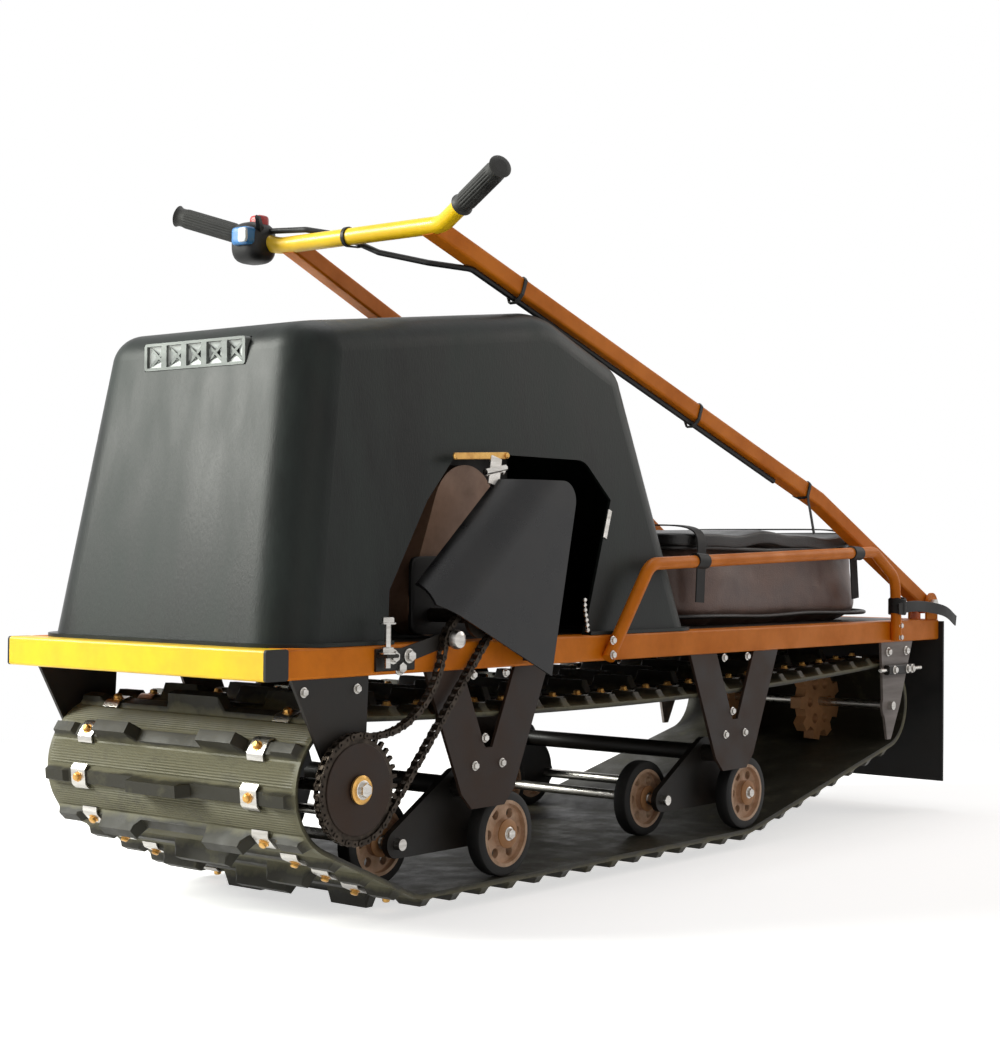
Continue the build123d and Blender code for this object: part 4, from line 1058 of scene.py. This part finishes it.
@dataclass
class HandlebarFittings:
    """Fluted grips, cable ties and switch gear on the handlebar.

    Args:
        bend: where the left grip's tube leaves the crossbar.
        end: end of the left grip's tube.
        grip_length: length of a grip.
        grip_radius: largest radius of a grip.
        waist: how much thinner it is between its flared ends.
        flare: length of the inner and of the outer flare.
        flutes: ridges round a grip.
        flute: height of a ridge.
        fluted: distances along a grip between which the ridges rise, and fall off.
        arm_bend: bend of the left arm.
        arm_top: top end of the left arm.
        arm_half: half the arm's width.
        tie: thickness and width of a cable tie.
        tie_x: places of the cable ties along the left arm.
        tie_y: place of the tie on the crossbar.
        tie_round: circles (x, z, r) round the crossbar and round the cable beside it.
        cable_drop: how far the cable's far side is below the arm.
    """

    bend: Point = (0.513, 0.168, 0.974)
    end: Point = (0.579, 0.329, 1.028)
    grip_length: float = 0.118
    grip_radius: float = 0.017
    waist: float = 0.0026
    flare: Spot = (0.008, 0.007)
    flutes: int = 20
    flute: float = 0.0011
    fluted: Sequence[Spot] = ((0.012, 0.016), (0.106, 0.102))
    arm_bend: Point = (-0.485, 0.2138, 0.601)
    arm_top: Point = (0.513, 0.144, 0.974)
    arm_half: float = 0.014
    tie: Spot = (0.0022, 0.007)
    tie_x: Sequence[float] = (0.3255, -0.116, -0.440)
    tie_y: float = -0.020
    tie_round: Sequence[Point] = ((0.513, 0.974, 0.0142), (0.4895, 0.967, 0.0058))
    cable_drop: float = 0.0115

    def build(self) -> None:
        """Builds the grips, the ties and the switch gear."""
        self._grips()
        self._ties()
        self._switches()

    def _grips(self) -> None:
        """Shapes the grips: radius = waist + ridge height * |cosine of half the ridges' turns| + flare at both ends."""
        t = around(80)
        h = np.linspace(0.0, self.grip_length, 41)[:, None]
        flare = np.maximum(1.0 - h / self.flare[0], 1.0 - (self.grip_length - h) / self.flare[1]).clip(0.0, 1.0)
        flutes = np.abs(np.cos(self.flutes / 2 * t)) * ramp(h, *self.fluted[0]) * ramp(h, *self.fluted[1])
        r = self.grip_radius - self.waist * (1.0 - flare ** 2) + self.flute * flutes
        r = np.concatenate((r, np.repeat(((self.grip_radius - 0.003,), (self.grip_radius - 0.008,)), len(t), 1)))
        h = np.concatenate((h, ((self.grip_length + 0.002,), (self.grip_length + 0.003,))))
        points = np.stack(np.broadcast_arrays(r * np.cos(t), r * np.sin(t), h), axis=-1)
        grip = Shell(points.reshape(-1, 3), tube_faces(*r.shape))
        tip = np.array(self.end)
        way = unit(tip - self.bend)
        piece("grip_sleeves", mirrored((standing(grip, (tip - way * self.grip_length,), way),)), "grip_rubber",
              ("grips",), crease=50.0, body=Body.HANDLEBAR)

    def _ties(self) -> None:
        """Wraps ties round the arm and the cable, each a closed rounded loop, and leaves one tail hanging."""
        low, top = np.array(self.arm_bend), np.array(self.arm_top)
        way = unit(top - low)
        across = unit(np.cross(Z_AXIS, way))
        up = np.cross(way, across)
        half, drop = self.arm_half + 0.0014, self.arm_half + self.cable_drop
        loop = np.array(((half, half - 0.004), (half - 0.004, half), (0.004 - half, half), (-half, half - 0.004),
                         (-half, 0.003 - half), (-0.007, -drop), (0.007, -drop), (half, 0.003 - half)))
        shells = [self._bar_tie()]
        for x in self.tie_x:
            middle = low + way * (x - low[0]) / way[0]
            lowest = -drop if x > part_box("control_cable")[0][0] else -half
            path = middle + loop[:, :1] * across + np.maximum(loop[:, 1:], lowest) * up
            shells.append(swept(path, oblong(*self.tie), way, True))
        start = middle + across * (half + 0.001) - up * self.arm_half
        tail = smooth_path((start + up * 0.02, start, start + (-0.008, 0.001, -0.03), start + (-0.022, 0.0, -0.066)), 6)
        shells.append(swept(tail, oblong(0.0016, 0.0065), way))
        piece("cable_ties", merged(shells), "black_plastic", body=Body.HANDLEBAR)

    def _bar_tie(self) -> Shell:
        """Wraps a tie round the crossbar and the cable, the hull of two circles: point = centre + r * (cos a, sin a).

        The circle is the cable's while a is within the tangent angle of the way from the bar to the cable.

        Returns:
            The tie.
        """
        bar, cable = np.array(self.tie_round)
        way = cable[:2] - bar[:2]
        a = around(40)
        near = np.cos(a - math.atan2(way[1], way[0])) > (bar[2] - cable[2]) / np.linalg.norm(way)
        x, z, r = np.where(near[:, None], cable, bar).T
        path = np.column_stack((x + r * np.cos(a), np.full(len(a), self.tie_y), z + r * np.sin(a)))
        return swept(path, oblong(*self.tie), Y_AXIS, True)

    def _switches(self) -> None:
        """Makes soft blocks of the switch gear: the rounded housing, the switch, its pale rocker and the stop cap."""
        low, high = corners("switch_block")
        low, high = low - (0.003, 0.010, 0.006), high + (0.006, 0.000, 0.002)
        size = high - low
        rocker = np.array((high[0] - 0.003, high[1] - 0.50 * size[1], low[2] + 0.10 * size[2]))
        shell_low, shell_high = corners("control_housing")
        cap_low, cap_high = corners("stop_button")
        for name, start, end, power, steps, finish, stands_for in (
                ("control_shell", shell_low - (0.004, 0.006, 0.006), shell_high + (0.004, 0.003, 0.0), 3.2, 40,
                 "black_plastic", ("control_housing",)),
                ("switch_case", low, high, 7.0, 30, "blue_plastic", ("switch_block",)),
                ("switch_rocker", rocker, rocker + (0.0055, 0.48 * size[1], 0.80 * size[2]), 6.0, 24,
                 "white_plastic", ()),
                ("stop_cap", cap_low - (0.003, 0.004, 0.003), cap_high + (0.003, 0.004, 0.003), 4.0, 30,
                 "red_plastic", ("stop_button",))):
            piece(name, soft_block(start, end, power, steps, steps), finish, stands_for, crease=ALL_SMOOTH,
                  body=Body.HANDLEBAR)


@dataclass
class HoodFittings:
    """Latch strip, latch, edge strip and bead chain on the hood's left side.

    Args:
        side_y: half width of the hood at its foot.
        side_lean: how much the side leans in for each metre of height.
        foot_z: height of its foot.
        strip: ends (x, z) of the strip over the arch.
        edge: ends (x, z) of the strip at the arch's rear edge.
        latch: place (x, z) of the latch.
        beads: x, lowest and highest z of the bead chain.
        bead: bead radius.
    """

    side_y: float = 0.259
    side_lean: float = 0.078
    foot_z: float = 0.376
    strip: Sequence[Spot] = ((0.566, 0.634), (0.450, 0.640))
    edge: Sequence[Spot] = ((0.202, 0.566), (0.220, 0.523))
    latch: Spot = (0.478, 0.618)
    beads: Point = (0.282, 0.384, 0.436)
    bead: float = 0.0036

    def build(self) -> None:
        """Builds the fittings."""
        piece("arch_strip", merged((self._bar(self.strip, 0.010, 0.003), self._heads(self.strip, 0.0045))), "brass")
        x, z = self.latch
        plate = self._bar(((x - 0.004, z + 0.018), (x + 0.006, z - 0.022)), 0.024, 0.005)
        loop = self._bar(((x - 0.022, z + 0.004), (x + 0.024, z - 0.004)), 0.009, 0.009)
        heads = self._heads(((x - 0.016, z), (x + 0.018, z - 0.004)), 0.006)
        piece("arch_latch", merged((plate, loop, heads)), "steel")
        piece("arch_edge_strip", self._bar(self.edge, 0.009, 0.004), "steel")
        self._beads()

    def _wall(self, z: Array) -> Array:
        """Gives the hood's side y at a height."""
        return self.side_y - self.side_lean * (np.asarray(z) - self.foot_z)

    def _bar(self, ends: Sequence[Spot], width: float, thick: float) -> Shell:
        """Lays a flat bar on the hood's side between two points.

        Args:
            ends: the points (x, z).
            width: width of the bar.
            thick: thickness.

        Returns:
            The bar.
        """
        t = np.array((0.0, 0.04, 0.5, 0.96, 1.0))[:, None]
        x, z = (np.array(ends[0]) * (1 - t) + np.array(ends[1]) * t).T
        return swept(np.column_stack((x, self._wall(z) + thick * 0.35, z)), oblong(width, thick), Y_AXIS)

    def _heads(self, spots: Sequence[Spot], radius: float) -> Shell:
        """Sets small round heads on the hood's side.

        Args:
            spots: their places (x, z).
            radius: head radius.

        Returns:
            The heads.
        """
        head = turned(((radius, 0.0), (radius, 0.002), (radius * 0.6, 0.0036)), 10)
        return standing(head, [(x, self._wall(z) + 0.002, z) for x, z in spots], Y_AXIS)

    def _beads(self) -> None:
        """Hangs a bead chain on the hood's side."""
        x, low, high = self.beads
        z = np.arange(low, high, 2.1 * self.bead)
        a = np.linspace(0.35, math.pi - 0.35, 6)
        ball = turned(np.column_stack((self.bead * np.sin(a), -self.bead * np.cos(a))), 10)
        places = np.column_stack((x + 0.002 * np.cos(90 * z), self._wall(z) + self.bead + 0.0006, z))
        core = swept(places[[0, -1]], disc(0.0012, 6), X_AXIS)
        piece("hood_bead_chain", merged((standing(ball, places, Y_AXIS), core)), "steel")


@dataclass
class WorkLamp:
    """Reflectors, emitters and crossed vanes of the five cells of the lamp.

    Args:
        cells: number of cells.
        rim: width of the wall round each cell.
        chip: share of a cell that its emitter takes.
        vane: half width and half thickness of a vane, the width as a share of the cell.
    """

    cells: int = 5
    rim: float = 0.0022
    chip: float = 0.28
    vane: Spot = (0.13, 0.0006)

    def build(self) -> None:
        """Builds the cells inside the space of the CAD lenses, each drawn in a square of half width 1."""
        low, high = corners("lamp_lenses")
        depth, width, height = (high - low) / (1, self.cells, 1)
        places = [(low[0], low[1] + width * (cell + 0.5), (low[2] + high[2]) / 2) for cell in range(self.cells)]
        axes = np.stack((Y_AXIS * (width - self.rim) / 2, Z_AXIS * height / 2, X_AXIS))[None].repeat(self.cells, 0)
        dish = self._square(((1.0, depth - 0.0016), (0.30, 0.0016), (0.30, 0.0006), (1.0, depth - 0.0028)), True)
        chip = self._square(((self.chip, 0.0004), (self.chip, 0.0022), (0.2, 0.0028)), False)
        half, thick = self.vane
        profile = np.array(((half, -thick), (half, thick), (-half, thick), (-half, -thick)))
        bar = swept(((-0.8, -0.8, depth * 0.62), (0.8, 0.8, depth * 0.62)), profile, Z_AXIS)
        cross = merged((bar, Shell(bar.points * (1.0, -1.0, 1.0) + (0.0, 0.0, 0.0002), bar.faces)))
        for name, shell, finish, stands_for in (("lamp_reflectors", dish, "reflector", ("lamp_lenses",)),
                                                ("lamp_emitters", chip, "black_plastic", ()),
                                                ("lamp_crosses", cross, "lamp_aluminium", ())):
            piece(name, copies(shell, places, axes), finish, stands_for, crease=FACETED)

    @staticmethod
    def _square(profile: Sequence[Spot], ring: bool) -> Shell:
        """Turns a profile in four steps, square to the axes.

        Args:
            profile: points (r, h), r half the side of the square.
            ring: whether the profile closes on itself.

        Returns:
            The surface.
        """
        shell = turned(profile, 4, ring)
        return Shell(shell.points @ np.array(((1.0, 1.0, 0.0), (-1.0, 1.0, 0.0), (0.0, 0.0, 1.0))), shell.faces)


@dataclass
class Hardware:
    """Bolts, brackets and clamps of the chassis.

    Args:
        vee_x: middle of each pair of V plates.
        vee_bolts: places (x, z) of a V plate's bolts, x from its middle.
        foot_x: places of the guard rails' feet.
        foot_z: heights of the bolts in a foot.
        rail_y: outer face of the frame rails.
        sprocket: place (x, z) of the driven sprocket.
        roller: place (x, z) of the tension roller.
        bracket: ends along x, and height, of the tensioner's bracket.
        screw_x: place of the bracket's upright screw.
        adjuster_z: height of the track adjusters.
        hanger_z: height of the bolts above them.
        clamp_y: ends of a flap clamp.
        clamp_bolts: places of its bolts.
    """

    vee_x: Spot = (0.505, -0.145)
    vee_bolts: Sequence[Spot] = ((-0.036, 0.328), (0.036, 0.328), (0.009, 0.238), (-0.030, 0.200), (0.030, 0.200))
    foot_x: Spot = (0.237, -0.693)
    foot_z: Spot = (0.346, 0.368)
    rail_y: float = 0.260
    sprocket: Spot = (0.789, 0.191)
    roller: Spot = (0.604, 0.380)
    bracket: Point = (0.672, 0.748, 0.356)
    screw_x: float = 0.735
    adjuster_z: float = 0.284
    hanger_z: float = 0.318
    clamp_y: Spot = (0.052, 0.248)
    clamp_bolts: Point = (0.075, 0.150, 0.225)

    def build(self) -> None:
        """Builds the hardware."""
        self._side_bolts()
        self._drive_fittings()
        self._tension_bracket()
        self._track_adjusters()
        self._flap_clamps()

    def _side_bolts(self) -> None:
        """Sets bolts on the V plates, the hangers and the guard rails' feet of both sides."""
        plate_y, foot_y = (corners(node)[1][1] for node in ("vee_plates", "guard_rail_left"))
        low, high = corners("front_hangers")
        spots = [(x + dx, plate_y, z) for x in self.vee_x for dx, z in self.vee_bolts]
        spots += [(x, high[1], high[2] - 0.016) for x in (low[0] + 0.022, high[0] - 0.022)]
        spots += [(x, foot_y - 0.002, z) for x in self.foot_x for z in self.foot_z]
        piece("side_bolts", mirrored((standing(bolt_head(0.005, 0.005), spots, Y_AXIS),)), "steel")

    def _drive_fittings(self) -> None:
        """Sets the sprocket's face, collar and nut, the roller's bolt, and a black plate of painted shade over the
        lower part of the drive case on the left side.
        """
        x, z = self.sprocket
        face, arm = (corners(node)[1][1] for node in ("driven_sprocket", "chain_tensioner"))
        collar = turned(((0.019, 0.0), (0.019, 0.003), (0.0165, 0.005), (0.0115, 0.005)), 28)
        web = turned(((0.060, 0.0), (0.060, 0.0012), (0.059, 0.002), (0.017, 0.002), (0.017, 0.0)), 64, ring=True)
        dome = turned(((0.0135, 0.0), (0.0135, 0.005), (0.0115, 0.010), (0.006, 0.0125)), 20)
        piece("sprocket_collar", standing(collar, ((x, face - 0.001, z),), Y_AXIS), "brass")
        piece("sprocket_face", standing(web, ((x, face - 0.0052, z),), Y_AXIS), "brown_paint")
        nut = standing(bolt_head(0.0095, 0.010), ((x, face + 0.002, z),), Y_AXIS)
        dome = standing(dome, ((self.roller[0], arm - 0.001, self.roller[1]),), Y_AXIS)
        piece("drive_nuts", merged((nut, dome)), "steel")
        # Painted shade: a black plate over the lower part of the drive case stands in for the shade that falls there.
        low, high = corners("drive_case")
        start = np.array((low[0] + 0.002, high[1] - 0.002, low[2] + 0.002))
        end = np.array((high[0] - 0.002, high[1] + 0.006, low[2] + 0.46 * (high[2] - low[2])))
        piece("painted_shade_plate", soft_block(start, end, 12.0, 40, 40), "black_plastic", crease=60.0)

    def _tension_bracket(self) -> None:
        """Bolts the tensioner's bracket and its upright screw to the left rail."""
        start, end, z = self.bracket
        x, y = self.screw_x, self.rail_y
        plate = swept([(at, y + 0.002, z) for at in (start, start + 0.004, end - 0.004, end)], oblong(0.030, 0.004),
                      Y_AXIS)
        lug = swept([(x, y + out, z + 0.006) for out in (0.002, 0.022)], oblong(0.024, 0.005), Z_AXIS)
        piece("tension_bracket", merged((plate, lug)), "black_paint")
        screw = swept([(x, y + 0.012, z + rise) for rise in (-0.010, 0.056)], disc(0.0042, 10), X_AXIS)
        nuts = standing(bolt_head(0.0085, 0.009), [(x, y + 0.012, z + rise) for rise in (0.048, 0.0085)], Z_AXIS)
        spots = ((start + 0.044, y + 0.004, z + 0.004), (start + 0.012, y + 0.004, z + 0.004),
                 (start + 0.026, y, z - 0.0115))
        heads = standing(bolt_head(0.0075, 0.008), spots, Y_AXIS)
        piece("tension_screws", merged((screw, nuts, heads)), "steel")

    def _track_adjusters(self) -> None:
        """Fits the track adjusters on the rear hangers: a block, a long screw and a row of bolts."""
        low, high = corners("rear_hangers")
        x, y, z = (low[0] + high[0]) / 2, high[1], self.adjuster_z
        block = swept([(x + dx, y + 0.006, z) for dx in (-0.052, -0.048, 0.048, 0.052)], oblong(0.018, 0.012, 0.2),
                      Y_AXIS)
        piece("track_adjusters", mirrored((block,)), "black_paint")
        row = standing(bolt_head(0.006, 0.006), [(x + dx, y + 0.011, z) for dx in (-0.040, -0.022, 0.030)], Y_AXIS)
        screw = swept([(x + dx, y + 0.006, z) for dx in (-0.085, 0.078)], disc(0.0035, 10), Z_AXIS)
        above = standing(bolt_head(0.0065, 0.0065), [(x + dx, y, self.hanger_z) for dx in (-0.036, 0.036)], Y_AXIS)
        piece("track_adjuster_bolts", mirrored((row, screw, above)), "steel")

    def _flap_clamps(self) -> None:
        """Clamps the mud flap with two strips and their bolts, one on each side of the hitch."""
        low, high = corners("mudflap")
        start, end = self.clamp_y
        x, z = low[0], high[2] - 0.016
        strip = swept([(x - 0.0015, y, z) for y in (start, start + 0.004, end - 0.004, end)], oblong(0.022, 0.003),
                      X_AXIS)
        piece("flap_clamps", mirrored((strip,)), "black_paint")
        heads = standing(bolt_head(0.006, 0.006), [(x - 0.003, y, z) for y in self.clamp_bolts], -X_AXIS)
        piece("flap_bolts", mirrored((heads,)), "steel")


@dataclass
class Lamp:
    """One soft studio light.

    Args:
        name: name of the light.
        place: where it stands.
        power: watts.
        size: side of the square, in metres.
        colour: light colour.
    """

    name: str
    place: Point
    power: float
    size: float
    colour: Colour = (1.0, 1.0, 1.0)


LIGHTS = (
    Lamp("key", (3.5, -2.9, 2.6), 330.0, 2.0, (0.98, 1.0, 0.93)),
    Lamp("fill", (1.6, 4.2, 2.2), 14.0, 2.4, (1.0, 0.88, 0.78)),
    Lamp("top", (-0.6, -0.4, 4.6), 45.0, 2.6),
    Lamp("rear", (-3.8, 1.8, 2.4), 30.0, 2.0, (1.0, 0.92, 0.84)),
)


@dataclass
class Studio:
    """Camera, lights, floor and backdrop.

    Args:
        eye: camera place.
        yaw: angle between the view and the nose-to-tail line, in degrees.
        pitch: upward tilt, in degrees.
        roll: turn about the view, in degrees.
        lens: focal length, in mm.
        sensor: height of the sensor, in mm.
        aim: point that the lights face.
        floor_size: side of the floor, in metres.
        floor_grey: lightness of the floor.
        floor_lift: how much the floor shines by itself near the object.
        floor_fade: distances between which the floor turns into the backdrop.
        surround: strength of the soft surrounding light.
        surround_colour: its colour.
    """

    eye: Point = (2.6075, 1.9865, 0.4992)
    yaw: float = 39.165
    pitch: float = 0.98
    roll: float = 0.5035
    lens: float = 66.47
    sensor: float = 36.0
    aim: Point = (0.1, 0.0, 0.4)
    floor_size: float = 60.0
    floor_grey: float = 0.85
    floor_lift: float = 0.62
    floor_fade: Spot = (1.1, 2.2)
    surround: float = 0.16
    surround_colour: Colour = (1.0, 0.97, 0.94)

    def build(self) -> None:
        """Builds the studio."""
        self._camera()
        for lamp in LIGHTS:
            self._light(lamp)
        self._floor()
        self._world()
        bpy.context.scene.view_settings.view_transform = "Standard"
        LOG.info("studio: %d lights", len(LIGHTS))

    @staticmethod
    def _stand(name: str, data: bpy.types.ID, axes: Sequence[Array] = (X_AXIS, Y_AXIS, Z_AXIS),
               place: Point = (0.0, 0.0, 0.0)) -> bpy.types.Object:
        """Stands a camera, a light or the floor in the studio.

        Args:
            name: its name.
            data: what it is.
            axes: where its x, y and z axes point.
            place: where it stands.

        Returns:
            The object.
        """
        pose = np.eye(4)
        pose[:3, :3] = np.stack(axes, axis=1)
        pose[:3, 3] = place
        made = bpy.data.objects.new(name, data)
        made.matrix_world = Matrix(pose.tolist())
        bpy.context.scene.collection.objects.link(made)
        return made

    def _camera(self) -> None:
        """Stands the camera where the picture was taken from."""
        a, p, r = (math.radians(v) for v in (self.yaw, self.pitch, self.roll))
        ahead = np.array((-math.cos(a) * math.cos(p), -math.sin(a) * math.cos(p), math.sin(p)))
        side = np.array((-math.sin(a), math.cos(a), 0.0))
        top = np.cross(side, ahead)
        right, up = math.cos(r) * side + math.sin(r) * top, math.cos(r) * top - math.sin(r) * side
        data = bpy.data.cameras.new("camera")
        data.sensor_fit = "VERTICAL"
        data.sensor_height = self.sensor
        data.lens = self.lens
        bpy.context.scene.camera = self._stand("camera", data, (right, up, -ahead), self.eye)

    def _light(self, lamp: Lamp) -> None:
        """Stands one square light that faces the aim.

        Args:
            lamp: the light.
        """
        data = bpy.data.lights.new(lamp.name, "AREA")
        data.energy = lamp.power
        data.size = lamp.size
        data.color = lamp.colour
        back = unit(np.array(lamp.place) - self.aim)
        side = unit(np.cross(Z_AXIS, back))
        self._stand(lamp.name, data, (side, np.cross(back, side), back), lamp.place)

    @staticmethod
    def _seen(tree: Tree) -> Socket:
        """Adds the test for rays from the camera, from gloss and through glass, which all see the white backdrop.

        Args:
            tree: node tree of a material or of the world.

        Returns:
            One for such rays, zero for others.
        """
        path = add_node(tree, "LightPath", {})
        seen = path.outputs["Is Camera Ray"]
        for name in ("Is Glossy Ray", "Is Transmission Ray"):
            seen = add_node(tree, "Math", {0: seen, 1: path.outputs[name]}, "MAXIMUM").outputs[0]
        return seen

    def _floor(self) -> None:
        """Lays a pale floor that keeps the shadow near the object and turns into the backdrop further off."""
        half = self.floor_size / 2
        mesh = bpy.data.meshes.new("floor")
        mesh.from_pydata([(-half, -half, 0.0), (half, -half, 0.0), (half, half, 0.0), (-half, half, 0.0)],
                         [], [(0, 1, 2, 3)])
        material = bpy.data.materials.new("floor")
        material.use_nodes = True
        tree = material.node_tree
        matt = tree.nodes["Principled BSDF"]
        grey = self.floor_grey
        feed(tree, matt, {"Base Color": (grey, grey, grey, 1.0), "Roughness": 0.9, "Specular IOR Level": 0.0})
        white, pale = (add_node(tree, "Emission", {"Strength": v}).outputs[0] for v in (1.0, self.floor_lift))
        lifted = add_node(tree, "AddShader", {0: matt.outputs[0], 1: pale}).outputs[0]
        spot = add_node(tree, "TexCoord", {}).outputs["Object"]
        distance = add_node(tree, "VectorMath", {0: spot}, "LENGTH").outputs["Value"]
        fade = add_node(tree, "MapRange", {
            "Value": distance, "From Min": self.floor_fade[0], "From Max": self.floor_fade[1]})
        fade.interpolation_type = "SMOOTHSTEP"
        shown = add_node(tree, "MixShader", {0: fade.outputs["Result"], 1: lifted, 2: white}).outputs[0]
        mixed = add_node(tree, "MixShader", {0: self._seen(tree), 1: matt.outputs[0], 2: shown})
        feed(tree, tree.nodes["Material Output"], {"Surface": mixed.outputs[0]})
        mesh.materials.append(material)
        self._stand("floor", mesh)

    def _world(self) -> None:
        """Makes a white backdrop for the rays that see it and a soft grey surrounding for the rest."""
        world = bpy.data.worlds.new("studio")
        world.use_nodes = True
        tree = world.node_tree
        soft = tree.nodes["Background"]
        feed(tree, soft, {"Color": (*self.surround_colour, 1.0), "Strength": self.surround})
        white = add_node(tree, "Background", {"Color": (1.0, 1.0, 1.0, 1.0)})
        mixed = add_node(tree, "MixShader", {0: self._seen(tree), 1: soft.outputs[0], 2: white.outputs[0]})
        feed(tree, tree.nodes["World Output"], {"Surface": mixed.outputs[0]})
        bpy.context.scene.world = world


def main() -> None:
    """Builds the pieces in order."""
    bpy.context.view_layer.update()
    Dresser(FINISHES).build()
    for assembly in (RubberTrack(), RoadWheels(), DriveChain(), ToolBag(), HandlebarFittings(), HoodFittings(),
                     WorkLamp(), Hardware(), Studio()):
        assembly.build()


if __name__ == "__main__":
    main()
